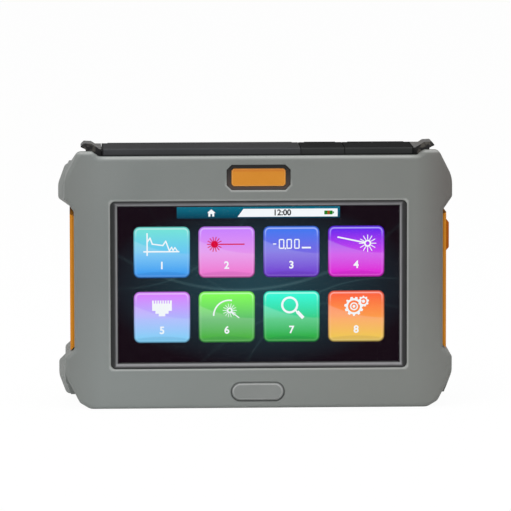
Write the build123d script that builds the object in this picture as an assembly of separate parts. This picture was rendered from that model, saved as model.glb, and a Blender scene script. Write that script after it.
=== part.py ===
from build123d import *
import os

# A seven inch touch screen field tester for optical fibre, standing on its bottom edge.
# Millimetres. X runs across, Y runs from the front face to the back, Z up from the bottom.
# Sizes called depth are measured back from the front face.

# Case form
case_depth = 58.0
parting_depth = case_depth - 28.0
flat_top = 138.6
crest_rise = 2.8
crest_top = flat_top + crest_rise
bumper_half = 106.1
waist_half = bumper_half - 5.1
waist_low = 32.8
waist_high = flat_top - 29.8
crest_start = bumper_half - 18.5
crest_flat_start = crest_start + 3.6
crest_flat_end = crest_start + 11.2
bumper_upper = (waist_high + 7.4, flat_top - 11.7)
bumper_lower = (18.6, waist_low - 4.4)
foot_half = bumper_half - 13.6
foot_corner = (foot_half + 5.7, 3.4)
corner_rounds = (4.0, 3.0, 3.5, 17.0, 2.5, 1.5, 1.5, 2.5, 17.0, 4.0, 6.0)
front_round = 2.2
back_round = 3.0

# How the crests fall away behind: depth and drop, one after the other
crest_slope = ((9.0, 0.0), (parting_depth - 3.0, 6.6), (case_depth, 9.6))

# Pads that bulge from the side walls, widest near the back
pad_half = bumper_half + 3.5
pad_base = waist_half + 0.8
pad_widest = case_depth - 10.0
pad_front = 20.0
pad_front_taper = 7.1
pad_back = 8.0
pad_back_taper = 20.0
upper_pad = (waist_high - 2.6, waist_high + 3.0, flat_top - 18.6, flat_top - 7.4)
lower_pad = (waist_low - 3.8, waist_low - 11.6, 13.0, 2.2)
pad_shoulder = 4.1
pad_rounds = (2.5, 10.0, 3.0)

# Cuts run this far past a face, and screws and sleeves sit this much larger than their holes
over = 1.0
press_on = 0.01
hole_play = 0.1

# Walls
front_wall = 3.2
back_wall = 2.8
side_wall = 3.4
bottom_wall = 3.2
cavity_half = waist_half - side_wall
cavity_top = flat_top - 7.8
cavity_corner = 8.0
gasket_thick = 0.8
gasket_inset = 1.2

# Screen
screen_centre = flat_top / 2 - 1.1
screen_opening = (2 * cavity_half - 32.7, flat_top - 46.1)
screen_round = 2.8
screen_lip = 0.7
active_area = (screen_opening[0] - 8.4, screen_opening[1] - 6.6)
bezel_gap = 0.2
bezel_front = 0.7
bezel_slope = 1.3
bezel_inner_edge = 0.35
touch_size = (screen_opening[0] + 2.5, screen_opening[1] + 6.5)
touch_thick = 1.1
display_thick = 5.7
plate_thick = 1.5
plate_half = cavity_half - 8.2
plate_span = (17.0, flat_top - 19.2)
plate_window = (26.0, flat_top - 78.6)
plate_round = 3.0
window_round = 4.0
touch_round = 1.5
display_lip = 0.5
display_recess = 0.3
post_x = cavity_half - 11.1
post_rows = (32.0, flat_top - 32.4)
post_radius = 2.6

# Bare plate above the screen
badge_centre = flat_top - 11.3
badge_size = (29.8, 9.9)
badge_border = (2.6, 2.05)
badge_recess = tuple(size + 2 * border for size, border in zip(badge_size, badge_border))
badge_corners = (2.8, 1.4, 1.2)
badge_edge = 0.3
badge_recess_depth = 1.6
badge_depth = 0.6
badge_gap = 0.2

# Key below the screen
front_key_place = (-0.7, 9.2)
front_key_hole = (29.5, 10.7)
key_gap = 0.2
front_key_face = 0.35
front_key_slope = (0.84, 1.2)
front_key_travel = 1.0
key_flange_thick = 1.2
key_flange_side = 1.6
key_flange_rise = 1.0
key_stem_radius = 2.0
key_play = 0.05
key_seat_gap = 0.3
switch_body = 6.0
switch_height = 3.5
plunger_radius = 1.6
plunger_height = 1.0
key_board_depth = 12.0
key_board_thick = 1.2
key_post_x = 19.4
key_post_radius = 1.9
key_board_margin = 0.6

# Key on the right side
side_key_centre = waist_high - 15.0
side_key_depth = parting_depth / 2 + 4.0
side_key_size = (18.4, parting_depth - 17.0)
side_key_proud = 1.9
side_key_chamfer = 2.4
side_key_edge = 0.8
side_key_travel = 0.8
side_board_x = cavity_half - 10.6
side_board_thick = 1.2

# Orange side panels
panel_thick = 2.3
panel_depths = (6.5, case_depth - 6.5)
panel_edge = 1.2
panel_gap = 0.3

# Port panel under the lids
tub_half = crest_start + 0.1
tub_depths = (8.3, case_depth - 6.3)
tub_wall = 2.0
tub_top = flat_top - 0.9
tub_floor = tub_top - 13.7
tub_floor_thick = 2.5
tub_gap = 0.3
wing_depths = (12.0, parting_depth - 0.8)
wing_half = tub_half + 9.6
wing_neck = wing_half - 3.0
wing_top = flat_top + 6.8
wing_tip = wing_top - 2.0
wing_foot = flat_top - 1.6
wing_start = (1.0, 0.3)
wing_slope = (6.0, 0.2)
wing_nose = (1.9, 1.4)
wing_radii = (0.2, 0.6, 0.8, 0.8, 0.4, 0.8)
end_half = tub_half + 3.3
end_foot = flat_top - 6.1
end_step = 0.5
ledge_thick = 4.0
ledge_reach = 3.0
ledge_depths = ((14.0, parting_depth - 4.0), (parting_depth + 4.0, case_depth - 12.0))

# Lids
lid_top = flat_top + 3.9
lid_thick = 2.2
lid_front_depth = 8.6
lid_lip = 1.9
lid_lip_low = flat_top - 0.6
lid_round = 0.8
hinge_depth = case_depth - 11.5
hinge_rod_radius = 1.0
rod_play = 0.05
lug_width = 3.0
lug_gap = 0.3
lug_radius = 2.3
lug_foot = 8.0
lug_front_foot = 5.0
lid_gap = 0.4
scoop_size = (12.0, 2.4, 1.8)
scoop_drop = 0.6
knuckle_wall = 0.4

# Ports, from the ends of the panel inwards. The optical ones take a 2.5 mm ferrule
port_depth = case_depth / 2 - 1.0
ferrule_radius = 1.25
sleeve_wall = 0.4
sleeve_play = 0.45
otdr_port_x = 27.7 - tub_half
inlet_x = tub_half - 15.1
jack_x = inlet_x - 14.6
usb_x = jack_x - 22.5
locator_port_x = usb_x - 29.5
meter_port_x = (otdr_port_x + locator_port_x) / 2 + 1.0
lid_joins = (usb_x - 12.0, usb_x + 12.1)
port_flange = 14.0
port_flange_thick = 1.5
port_flange_round = 1.5
flange_hole = 0.8
flange_hole_inset = 2.0
port_barrel = 4.0
meter_barrel = 5.2
locator_barrel = 3.4
barrel_wall = 0.8
barrel_ring_deep = 4.0
port_rise = 9.5
port_drop = 12.0
port_key_slot = 2.1
port_key_deep = 2.2
ferrule_depth = 9.0
sleeve_foot = 1.5
nut_thick = 2.0
nut_across = 12.0

# Electrical ports on their board
port_board_span = (usb_x - 12.5, inlet_x + 10.4)
port_board_depths = (port_depth - 7.5, port_depth + 16.0)
port_board_drop = 3.9
port_board_thick = 1.6
spacer_radius = 2.0
spacer_inset = (3.0, 2.6)
jack_size = (15.9, 13.4, 16.4)
jack_mouth = (11.9, 8.2, 12.5)
jack_latch = (6.4, 1.3, 9.0)
jack_wires = 8
jack_contact = 0.5
jack_contact_stand = 0.9
jack_contact_stop = 3.0
jack_pitch = 1.02
usb_size = (14.4, 7.0, 14.0)
usb_wall = 0.5
usb_floor = 2.0
usb_tongue = (11.1, 1.8, 11.0)
inlet_size = (9.0, 11.0, 13.4)
inlet_bore = 3.1
inlet_deep = 9.5
inlet_pin = 1.0
inlet_pin_stop = 1.0
port_clearance = 0.25

# Case screws
boss_x = cavity_half - 3.2
boss_rows = (13.0, flat_top / 2 - 1.3, flat_top - 20.6)
boss_radius = 4.2
screw_radius = 1.5
screw_head_radius = 2.8
screw_head = 2.0
screw_sink = 4.2
screw_bite = 9.0
screw_play = 0.2
screw_key = 1.45
screw_key_deep = 1.2

# Main board
board_size = (2 * cavity_half - 45.2, flat_top - 50.6)
board_centre = screen_centre - 0.2
board_thick = 1.6
standoff = 6.0
standoff_radius = 2.5
standoff_inset = 5.0
small_screw_radius = 1.0
small_head_radius = 2.1
small_head = 1.5
small_screw_long = 5.0
shield_margin = (45.0, 55.0, 32.0, 16.0)
shield_high = 3.0
shield_wall = 0.4
chip_size = (14.0, 14.0, 1.4)
chip_inset = (20.0, 30.0, 26.0, 24.0)
board_round = 2.0

# Stand on the back
stand_low = 14.0
stand_axis = flat_top - 41.6
stand_thick = 3.0
stand_gap = 0.35
stand_pin_radius = 1.0
stand_pin_reach = 6.0
stand_corner = 4.0
stand_notch = (22.0, 10.0)
stand_finger = (30.0, 12.0)
stand_pin_play = 0.3
stand_grooves = 5
stand_groove_margin = 20.0
stand_groove = (33.0, 2.0, 0.6)
stand_groove_end = 23.0

# Battery
battery_free = (8.0, 33.0)
battery = (2 * cavity_half - 118.2, stand_axis - battery_free[1], case_depth - 39.0)
battery_centre = stand_low + battery_free[0] + battery[1] / 2
tray_wall = 1.5
battery_play = 0.5
cell_count = 4
cell_groove = (2.2, 1.6)
battery_round = 1.0
door_overlap = 1.7
door_thick = 1.4
door_screw_x = battery[0] / 2 - 5.5
door_strip = 4.4
door_gap = 0.3
door_head_radius = 1.9
door_head = 0.8
door_screw_long = 6.0
door_round = 2.0
door_boss = 7.0

# Optics inside
module_span = ((9.6 - cavity_half, 53.0 - cavity_half), (34.0, flat_top - 36.6))
module_depths = (24.5, case_depth - 8.0)
module_round = 2.0
module_post_x = (module_span[0][0] + 4.0, module_span[0][1] - 12.4)
module_post_rows = (module_span[1][0] + 6.0, module_span[1][1] - 6.0)
module_lug = 3.0
module_screw_long = 6.0
module_post_bore = 4.0
fin_pitch = 5.4
fin_groove = (2.0, 3.0)
fin_margin = 8.0
fins = 7
reel_centre = (cavity_half - 30.6, flat_top - 66.6)
reel_half = 20.0
reel_depths = (case_depth - 14.0, case_depth - 8.0)
reel_hub = 9.0
reel_rim = 1.5
reel_floor = 1.2
reel_corner = 5.0
coil_radii = (11.8, 16.2)
coil_thick = 3.6
coil_edge = 0.9
reel_post_step = 15.0

# Thicker back wall round the battery and the stand
thick_half = reel_centre[0] - 15.0
thick_span = (8.0, stand_axis + 7.0)
thick_wall_depth = case_depth - 6.0
stand_half = thick_half - 6.5

# Speaker
speaker_place = (cavity_half - 25.6, 30.0)
speaker_radius = 9.0
speaker_deep = 4.5
speaker_rim = 1.5
speaker_magnet = 5.4
slot_size = (14.0, 1.4)
slot_pitch = 2.8
slot_count = 5


def place(depth):
    """Y of a plane this far behind the front face."""
    return depth - case_depth / 2


def from_front(sketch, near, far):
    """A solid pulled straight back, from a sketch of x across and z up."""
    return Pos(0, place(near), 0) * extrude(Plane.XZ * sketch, amount=far - near, dir=(0, 1, 0))


def from_top(sketch, low, high):
    """A solid pulled straight up, from a sketch of x across and y back."""
    return Pos(0, 0, low) * extrude(sketch, amount=high - low)


def from_side(sketch, left, right):
    """A solid pulled across, from a sketch of y back and z up."""
    return Pos(left, 0, 0) * extrude(Plane.YZ * sketch, amount=right - left)


def block(x_span, depths, z_span):
    """A plain block between two values along each direction."""
    size = (x_span[1] - x_span[0], depths[1] - depths[0], z_span[1] - z_span[0])
    corner = Pos(x_span[0], place(depths[0]), z_span[0])
    return corner * Box(*size, align=(Align.MIN, Align.MIN, Align.MIN))


def post(x, z, radius, near, far):
    """A round post along the depth."""
    return from_front(Pos(x, z) * Circle(radius), near, far)


def peg(x, depth, radius, low, high):
    """A round peg along the height."""
    return from_top(Pos(x, place(depth)) * Circle(radius), low, high)


def rod(depth, z, radius, left, right):
    """A round rod across the case."""
    return from_side(Pos(place(depth), z) * Circle(radius), left, right)


def rounded(points, radii):
    """A face inside a closed outline, with its corners rounded one by one."""
    return make_face(FilletPolyline(*points, radius=radii, close=True))


def both_sides(points):
    """A right hand outline with its mirror image, as one loop."""
    return points + [(-x, z) for x, z in reversed(points)]


def bar(centre, size, radius):
    """A rounded rectangle on the front face."""
    return Pos(*centre) * RectangleRounded(size[0], size[1], radius)


def cut_corner_bar(centre, size, corner):
    """A rectangle with its four corners cut at 45 degrees."""
    return Pos(*centre) * chamfer(Rectangle(*size).vertices(), corner)


def keep_solid(shape):
    """The one solid of a result, without its wrapper."""
    return shape.solids()[0] if len(shape.solids()) == 1 else Compound(children=list(shape.solids()))


def save(name, shape):
    """Writes one piece under its own name."""
    export_step(keep_solid(shape), f"parts/{name}.step")


# Case shells
def front_outline():
    """The case seen from the front: crests and bumpers at the corners, a waist between them."""
    right = [
        (crest_start, flat_top),
        (crest_flat_start, crest_top),
        (crest_flat_end, crest_top),
        (bumper_half, bumper_upper[1]),
        (bumper_half, bumper_upper[0]),
        (waist_half, waist_high),
        (waist_half, waist_low),
        (bumper_half, bumper_lower[1]),
        (bumper_half, bumper_lower[0]),
        foot_corner,
        (foot_half, 0),
    ]
    return rounded(both_sides(right), list(corner_rounds + corner_rounds[::-1]))


def corner_pad(heights):
    """A right hand pad on the side wall. It narrows to the front and to the back."""
    waist, inner, outer, end = heights
    points = [
        (cavity_half, waist),
        (pad_base, waist),
        (pad_half, inner),
        (pad_half, outer),
        (pad_half - pad_shoulder, end),
        (cavity_half, end),
    ]
    round_one, round_two, round_three = pad_rounds
    sketch = Plane.XZ.offset(-place(pad_widest)) * rounded(
        points, [0, 0, round_one, round_two, round_three, 0]
    )
    forward = extrude(sketch, amount=pad_widest - pad_front, taper=pad_front_taper)
    return forward + extrude(sketch, amount=-pad_back, taper=pad_back_taper)


def cavity_outline():
    """The hollow seen from the front, with its corners cut to follow the bumpers."""
    half = cavity_half
    return cut_corner_bar(
        (0, (cavity_top + bottom_wall) / 2), (2 * half, cavity_top - bottom_wall), cavity_corner
    )


def outer_form():
    """The whole case as one solid form, before it is hollowed and parted."""
    form = from_front(front_outline(), 0, case_depth)
    form = fillet(form.faces().sort_by(Axis.Y)[0].edges(), front_round)
    form = fillet(form.faces().sort_by(Axis.Y)[-1].edges(), back_round)
    falling = [(place(depth), crest_top - drop) for depth, drop in crest_slope]
    above = [(place(case_depth), crest_top + over), (place(crest_slope[0][0]), crest_top + over)]
    slope = make_face(Polyline(*(falling + above), close=True))
    for side in (-1, 1):
        left, right = sorted((side * crest_start, side * (pad_half + over)))
        form -= from_side(slope, left, right)
    for heights in (upper_pad, lower_pad):
        pad = corner_pad(heights)
        form += pad
        form += mirror(pad, about=Plane.YZ)
    return form


def port_recess():
    """The opening through the top of the case that takes the port panel."""
    return block(
        (-tub_half - tub_gap, tub_half + tub_gap),
        (tub_depths[0] - tub_gap, tub_depths[1] + tub_gap),
        (tub_floor - tub_floor_thick, crest_top + over),
    )


def wing_pockets():
    """Pockets in the top corners that take the end blocks and the wings of the port panel."""
    cut = port_recess()
    near = wing_depths[0] - tub_gap
    for side in (-1, 1):
        span = sorted((side * tub_half, side * (wing_neck + tub_gap)))
        cut += block(span, (near, wing_depths[1] + tub_gap), (wing_foot - tub_gap, crest_top + over))
        span = sorted((side * tub_half, side * (end_half + tub_gap)))
        cut += block(span, (near, end_far() + tub_gap), (end_foot - tub_gap, crest_top + over))
    return cut


def end_far():
    """Depth to which the end blocks reach, level with the back of the knuckles."""
    return hinge_depth + knuckle_radius()


def ledges(depths):
    """Ledges on the side walls that carry the port panel."""
    top = tub_floor - tub_floor_thick
    found = None
    for side in (-1, 1):
        span = sorted((side * (tub_half - ledge_reach), side * (cavity_half + over)))
        one = block(span, depths, (top - ledge_thick, top))
        found = one if found is None else found + one
    return found


def boss_places():
    """Centres of the six case screws."""
    return [(side * boss_x, row) for side in (-1, 1) for row in boss_rows]


def side_key_hole(left, right):
    """The hole for the side key, through the wall and the side panel."""
    tall = side_key_size[0] + 2 * key_gap
    deep = side_key_size[1] + 2 * key_gap
    return block(
        (left, right),
        (side_key_depth - deep / 2, side_key_depth + deep / 2),
        (side_key_centre - tall / 2, side_key_centre + tall / 2),
    )


def front_shell(form):
    """The front half of the case, with its screen opening, key hole and posts."""
    part_line = parting_depth - gasket_thick / 2
    shell = form & block((-pad_half - over, pad_half + over), (-over, part_line), (-over, crest_top + over))
    shell -= from_front(cavity_outline(), front_wall, part_line)
    shell += ledges(ledge_depths[0])
    for x, z in boss_places():
        shell += post(x, z, boss_radius, front_wall, part_line)
        shell -= post(x, z, screw_radius + press_on, part_line - screw_bite - over, part_line)
    plate_near = front_wall + touch_thick + display_thick
    for side in (-1, 1):
        for row in post_rows:
            shell += post(side * post_x, row, post_radius, front_wall, plate_near)
            shell -= post(side * post_x, row, small_screw_radius + press_on, front_wall + over, plate_near)
        x = front_key_place[0] + side * key_post_x
        shell += post(x, front_key_place[1], key_post_radius, front_wall, key_board_depth)
    shell -= wing_pockets()
    shell -= from_front(bar((0, screen_centre), screen_opening, screen_round), -over, front_wall)
    lip = [size + 2 * screen_lip for size in screen_opening]
    face = Plane.XZ.offset(case_depth / 2)
    inner = Plane.XZ.offset(case_depth / 2 - screen_lip)
    shell -= loft([
        face * bar((0, screen_centre), lip, screen_round + screen_lip),
        inner * bar((0, screen_centre), screen_opening, screen_round),
    ])
    recess = cut_corner_bar((0, badge_centre), badge_recess, badge_corners[0])
    shell -= from_front(recess, -over, badge_recess_depth)
    hole = Pos(*front_key_place) * SlotOverall(*front_key_hole)
    shell -= from_front(hole, -over, front_wall)
    shell -= side_key_hole(cavity_half - over, waist_half + over)
    return shell


def battery_opening(grow):
    """The battery opening in the back wall, larger by this much all round."""
    wide = battery[0] + 2 * battery_play + 2 * grow
    tall = battery[1] + 2 * battery_play + 2 * grow
    return Pos(0, battery_centre) * RectangleRounded(wide, tall, battery_round + grow)


def door_sketch(shrink):
    """The battery door seen from behind: its opening cover and a screw strip along the top."""
    wide = battery[0] + 2 * battery_play + 2 * door_overlap - 2 * shrink
    low = battery_centre - battery[1] / 2 - battery_play - door_overlap + shrink
    high = battery_centre + battery[1] / 2 + battery_play + door_overlap + door_strip - shrink
    return Pos(0, (low + high) / 2) * RectangleRounded(wide, high - low, door_round)


def door_screw_row():
    """Height of the battery door screws."""
    return battery_centre + battery[1] / 2 + battery_play + door_overlap + door_strip / 2


def stand_floor():
    """Depth of the floor that the folded stand lies against."""
    return case_depth - stand_thick - 2 * stand_gap


def rear_shell(form):
    """The back half of the case, with the battery opening and the bed of the stand."""
    part_line = parting_depth + gasket_thick / 2
    far = case_depth - back_wall
    half = (-pad_half - over, pad_half + over)
    shell = form & block(half, (part_line, case_depth), (-over, crest_top + over))
    hollow = from_front(cavity_outline(), part_line, far)
    hollow -= block((-thick_half, thick_half), (thick_wall_depth, case_depth), thick_span)
    shell -= hollow
    shell += ledges(ledge_depths[1])
    for x, z in boss_places():
        shell += post(x, z, boss_radius, part_line, far)
        shell -= post(x, z, screw_radius + screw_play, part_line, case_depth)
        shell -= post(x, z, screw_head_radius + screw_play, case_depth - screw_sink, case_depth)
    shell -= wing_pockets()
    seat = module_depths[1]
    for x in module_post_x:
        for z in module_post_rows:
            shell += post(x, z, standoff_radius, seat, far)
            shell -= post(x, z, small_screw_radius + press_on, seat, seat + module_post_bore)
    for x, z in reel_posts():
        shell += post(x, z, standoff_radius, reel_depths[1], far)
    bed = block(
        (-stand_half - stand_gap, stand_half + stand_gap),
        (stand_floor(), case_depth),
        (stand_low - stand_gap, stand_axis + stand_thick / 2 + stand_gap),
    )
    shell -= bed
    shell -= from_front(Pos(0, stand_low) * SlotOverall(*stand_finger), stand_floor(), case_depth)
    door_near = stand_floor() - door_thick
    shell -= from_front(battery_opening(0), thick_wall_depth, stand_floor())
    shell -= from_front(door_sketch(0), door_near, stand_floor())
    for side in (-1, 1):
        x = side * door_screw_x
        shell += post(x, door_screw_row(), small_head_radius, door_near - door_boss, door_near)
        tip = door_near - door_screw_long
        shell -= post(x, door_screw_row(), small_screw_radius + press_on, tip, door_near)
        reach = sorted((side * (stand_half - over), side * (stand_half + stand_gap + stand_pin_reach)))
        shell -= rod(stand_axis_depth(), stand_axis, stand_pin_radius + press_on, *reach)
    for step in range(slot_count):
        z = speaker_place[1] + (step - (slot_count - 1) / 2) * slot_pitch
        shell -= from_front(Pos(speaker_place[0], z) * SlotOverall(*slot_size), far, case_depth)
    return shell


def shell_gasket(form):
    """The soft seal between the two shells, set in from the outside."""
    near = parting_depth - gasket_thick / 2
    far = parting_depth + gasket_thick / 2
    ring = from_front(offset(front_outline(), amount=-gasket_inset), near, far)
    ring &= form
    ring -= from_front(cavity_outline(), near, far)
    return ring - wing_pockets()


def waist_slope(x):
    """Height of the upper face of the lower bumper, where it rises to the waist."""
    share = (x - waist_half) / (bumper_half - waist_half)
    return waist_low + share * (bumper_lower[1] - waist_low)


def side_panel(side):
    """An orange panel on the waist of the case, between the corner pads."""
    near, far = panel_depths
    outer = waist_half + panel_thick
    high = upper_pad[0] - panel_gap
    slope = (upper_pad[1] - upper_pad[0]) / (pad_half - pad_base)
    high_outside = high + slope * (outer - pad_base)
    low = waist_slope(outer)
    face = Polyline(
        (waist_half, waist_low + 4 * panel_gap),
        (outer, low + 3 * panel_gap),
        (outer, high_outside),
        (waist_half, high),
        close=True,
    )
    plan = Polyline(
        (waist_half, place(near)),
        (outer - panel_edge, place(near)),
        (outer, place(near + panel_edge)),
        (outer, place(far - panel_edge)),
        (outer - panel_edge, place(far)),
        (waist_half, place(far)),
        close=True,
    )
    panel = from_top(make_face(plan), low, high_outside) & from_front(make_face(face), near, far)
    if side < 0:
        return mirror(panel, about=Plane.YZ)
    return panel - side_key_hole(waist_half - over, outer + over)


def case_screws():
    """Six screws from the back that hold the two shells together."""
    found = []
    seat = case_depth - screw_sink
    top = seat + screw_head
    tip = parting_depth - gasket_thick / 2 - screw_bite
    for x, z in boss_places():
        screw = post(x, z, screw_radius, tip, seat)
        screw += post(x, z, screw_head_radius, seat, top)
        screw -= from_front(Pos(x, z) * RegularPolygon(screw_key, 6), top - screw_key_deep, top)
        found.append(screw.solid())
    return Compound(children=found)


# Screen and what carries it
def screen_bezel():
    """The dark frame round the picture, sloping in to the glass."""
    outer = [size - 2 * bezel_gap for size in screen_opening]
    corner = screen_round - bezel_gap
    picture = Pos(0, screen_centre) * Rectangle(*active_area)
    body = from_front(bar((0, screen_centre), outer, corner), bezel_front, front_wall)
    wide = [size - 2 * bezel_slope for size in outer]
    body -= loft([
        Plane.XZ.offset(case_depth / 2 - bezel_front) * bar((0, screen_centre), wide, corner),
        Plane.XZ.offset(case_depth / 2 - front_wall + bezel_inner_edge) * picture,
    ])
    return body - from_front(picture, bezel_front, front_wall)


def touch_glass():
    """The touch panel, held against the back of the front wall."""
    return from_front(bar((0, screen_centre), touch_size, touch_round), front_wall, front_wall + touch_thick)


def display_panel():
    """The liquid crystal panel with its lit frame."""
    near = front_wall + touch_thick
    body = from_front(Pos(0, screen_centre) * Rectangle(*touch_size), near, near + display_thick)
    lip = [size + 2 * display_lip for size in active_area]
    return body - from_front(Pos(0, screen_centre) * Rectangle(*lip), near, near + display_recess)


def display_plate():
    """The metal plate behind the display, with a tab that carries the side key's board."""
    near = front_wall + touch_thick + display_thick
    middle = (plate_span[0] + plate_span[1]) / 2
    sketch = bar((0, middle), (2 * plate_half, plate_span[1] - plate_span[0]), plate_round)
    for x in (-plate_half / 2, 0.0, plate_half / 2):
        sketch -= bar((x, middle), plate_window, window_round)
    plate = from_front(sketch, near, near + plate_thick)
    for side in (-1, 1):
        for row in post_rows:
            plate -= post(side * post_x, row, small_screw_radius + hole_play, near, near + plate_thick)
    tall, deep = side_key_size
    plate += block(
        (side_board_x - plate_thick, side_board_x),
        (near, side_key_depth + deep / 2),
        (side_key_centre - tall / 2, side_key_centre + tall / 2),
    )
    return plate


def plate_screws():
    """Four screws that hold the display plate to its posts."""
    seat = front_wall + touch_thick + display_thick + plate_thick
    found = []
    for side in (-1, 1):
        for row in post_rows:
            found.append(small_screw(side * post_x, row, seat, small_screw_long, 1).solid())
    return Compound(children=found)


def small_screw(x, z, seat, length, way):
    """A small screw along the depth, its head behind the seat (way 1) and its tip in front."""
    tip = seat - way * length
    top = seat + way * small_head
    near, far = sorted((tip, seat))
    screw = post(x, z, small_screw_radius, near, far)
    near, far = sorted((seat, top))
    return screw + post(x, z, small_head_radius, near, far)


# Plate above the screen
def badge_surround():
    """The dark rim round the bare plate."""
    outer = [size - 2 * badge_gap for size in badge_recess]
    inner = [size + 2 * badge_gap for size in badge_size]
    ring = cut_corner_bar((0, badge_centre), outer, badge_corners[0])
    ring -= cut_corner_bar((0, badge_centre), inner, badge_corners[1])
    return from_front(ring, badge_depth / 2, badge_recess_depth)


def badge_plate():
    """The bare orange plate, a little below the front face."""
    face = cut_corner_bar((0, badge_centre), badge_size, badge_corners[2])
    plate = from_front(face, badge_depth, badge_recess_depth)
    return chamfer(plate.faces().sort_by(Axis.Y)[0].edges(), badge_edge)


# Keys
def front_key():
    """The oblong key: a cap with sloping edges, a flange that holds it in, and a stem."""
    size = [length - 2 * key_gap for length in front_key_hole]
    x, z = front_key_place
    cap = from_front(Pos(x, z) * SlotOverall(*size), front_key_face, front_wall + key_seat_gap)
    cap = chamfer(cap.faces().sort_by(Axis.Y)[0].edges(), *front_key_slope)
    near = front_wall + key_seat_gap
    far = near + key_flange_thick
    low = bottom_wall + key_seat_gap
    high = z + front_key_hole[1] / 2 + key_flange_rise
    half = front_key_hole[0] / 2 + key_flange_side
    cap += block((x - half, x + half), (near, far), (low, high))
    tip = key_board_depth - switch_height - plunger_height - front_key_travel - key_play
    return cap + post(x, z, key_stem_radius, far, tip)


def front_key_switch():
    """The switch behind the oblong key."""
    x, z = front_key_place
    top = key_board_depth - switch_height
    half = switch_body / 2
    body = block((x - half, x + half), (top, key_board_depth), (z - half, z + half))
    return body + post(x, z, plunger_radius, top - plunger_height, top)


def front_key_board():
    """The small board that carries the front switch, on two posts."""
    x, z = front_key_place
    half = key_post_x + key_post_radius + key_board_margin
    low = bottom_wall + key_seat_gap
    far = key_board_depth + key_board_thick
    return block((x - half, x + half), (key_board_depth, far), (low, 2 * z - low))


def side_key():
    """The key on the right side: a proud cap with sloping ends, a flange and a stem."""
    tall, deep = side_key_size
    root = waist_half + panel_thick - key_gap
    outer = waist_half + panel_thick + side_key_proud
    inner = cavity_half - key_seat_gap
    low, high = side_key_centre - tall / 2, side_key_centre + tall / 2
    near, far = side_key_depth - deep / 2, side_key_depth + deep / 2
    face = Polyline(
        (inner, low),
        (root, low),
        (outer, low + side_key_chamfer),
        (outer, high - side_key_chamfer),
        (root, high),
        (inner, high),
        close=True,
    )
    cap = from_front(make_face(face), near, far)
    edges = cap.faces().sort_by(Axis.X)[-1].edges().filter_by(Axis.Z)
    cap = chamfer(edges, side_key_edge)
    flange_low = inner - key_flange_thick
    grow = key_flange_rise
    cap += block((flange_low, inner), (near - grow, far + grow), (low - grow, high + grow))
    top = side_board_x + side_board_thick + switch_height + plunger_height
    tip = top + side_key_travel + key_play
    return cap + rod(side_key_depth, side_key_centre, key_stem_radius, tip, flange_low)


def side_key_switch():
    """The switch behind the side key."""
    foot = side_board_x + side_board_thick
    half = switch_body / 2
    body = block(
        (foot, foot + switch_height),
        (side_key_depth - half, side_key_depth + half),
        (side_key_centre - half, side_key_centre + half),
    )
    top = foot + switch_height
    return body + rod(side_key_depth, side_key_centre, plunger_radius, top, top + plunger_height)


def side_key_board():
    """The small board that carries the side switch, flat on the tab of the display plate."""
    tall, deep = side_key_size
    return block(
        (side_board_x, side_board_x + side_board_thick),
        (side_key_depth - deep / 2 + side_key_edge, side_key_depth + deep / 2),
        (side_key_centre - tall / 2, side_key_centre + tall / 2),
    )


# Port panel, lids and their rod
def lid_spans():
    """Left and right edge of each lid, from left to right."""
    end = tub_half - tub_wall - tub_gap
    first, second = lid_joins
    half = lid_gap / 2
    return [(-end, first - half), (first + half, second - half), (second + half, end)]


def hinge_height():
    """Height of the hinge axis, set so that the knuckles end level with the lids."""
    return lid_top - knuckle_radius()


def knuckle_radius():
    """Radius of the rolled rear edge of a lid."""
    return lid_thick + knuckle_wall


def wing(side):
    """The wing of the port panel that reaches out over a front corner of the case."""
    top = lid_top - end_step
    inner = tub_half - tub_wall
    points = [
        (inner, wing_foot),
        (inner, top),
        (inner + wing_start[0], top + wing_start[1]),
        (wing_half - wing_slope[0], wing_top - wing_slope[1]),
        (wing_half - wing_nose[0], wing_top),
        (wing_half, wing_tip),
        (wing_neck, wing_tip - wing_nose[1]),
        (wing_neck, wing_foot),
    ]
    end = from_front(rounded(points, [0, *wing_radii, 0]), *wing_depths)
    return end if side > 0 else mirror(end, about=Plane.YZ)


def port_panel():
    """The black tub under the lids, with its hinge lugs, port holes and end wings."""
    under = tub_floor - tub_floor_thick
    inside = tub_half - tub_wall
    axis = hinge_height()
    well = (tub_depths[0] + tub_wall, end_far() + lug_gap)
    tub = block((-tub_half, tub_half), tub_depths, (under, tub_top))
    tub -= block((-inside, inside), well, (tub_floor, tub_top))
    for side in (-1, 1):
        span = sorted((side * inside, side * end_half))
        tub += block(span, (wing_depths[0], end_far()), (end_foot, lid_top - end_step))
        tub += wing(side)
    for left, right in lid_spans():
        for low in (left, right - lug_width):
            span = (low, low + lug_width)
            tub += rod(hinge_depth, axis, lug_radius, *span)
            tub += block(span, (hinge_depth, well[1] + lug_gap), (axis - lug_foot, axis))
            tub += block(span, (hinge_depth - lug_radius, hinge_depth), (axis - lug_front_foot, axis))
    tub -= rod(hinge_depth, axis, hinge_rod_radius + press_on, -inside - lug_width, end_half)
    for x in (otdr_port_x, meter_port_x, locator_port_x):
        tub -= peg(x, port_depth, port_barrel + port_clearance, under, tub_floor)
    for x, size in ((jack_x, jack_size), (usb_x, usb_size), (inlet_x, inlet_size)):
        half_x = size[0] / 2 + port_clearance
        half_y = size[1] / 2 + port_clearance
        span = (x - half_x, x + half_x)
        tub -= block(span, (port_depth - half_y, port_depth + half_y), (under, tub_floor))
    for x, depth in spacer_places():
        tub += peg(x, depth, spacer_radius, under - port_board_drop, under)
        tub -= peg(x, depth, small_screw_radius + press_on, under - port_board_drop, under + over)
    return tub


def hinge_rod():
    """The steel rod through the lugs and the lids, pushed in from the right end block."""
    inside = tub_half - tub_wall
    left = -inside - lug_width / 2
    return rod(hinge_depth, hinge_height(), hinge_rod_radius, left, end_half - tub_gap)


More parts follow.
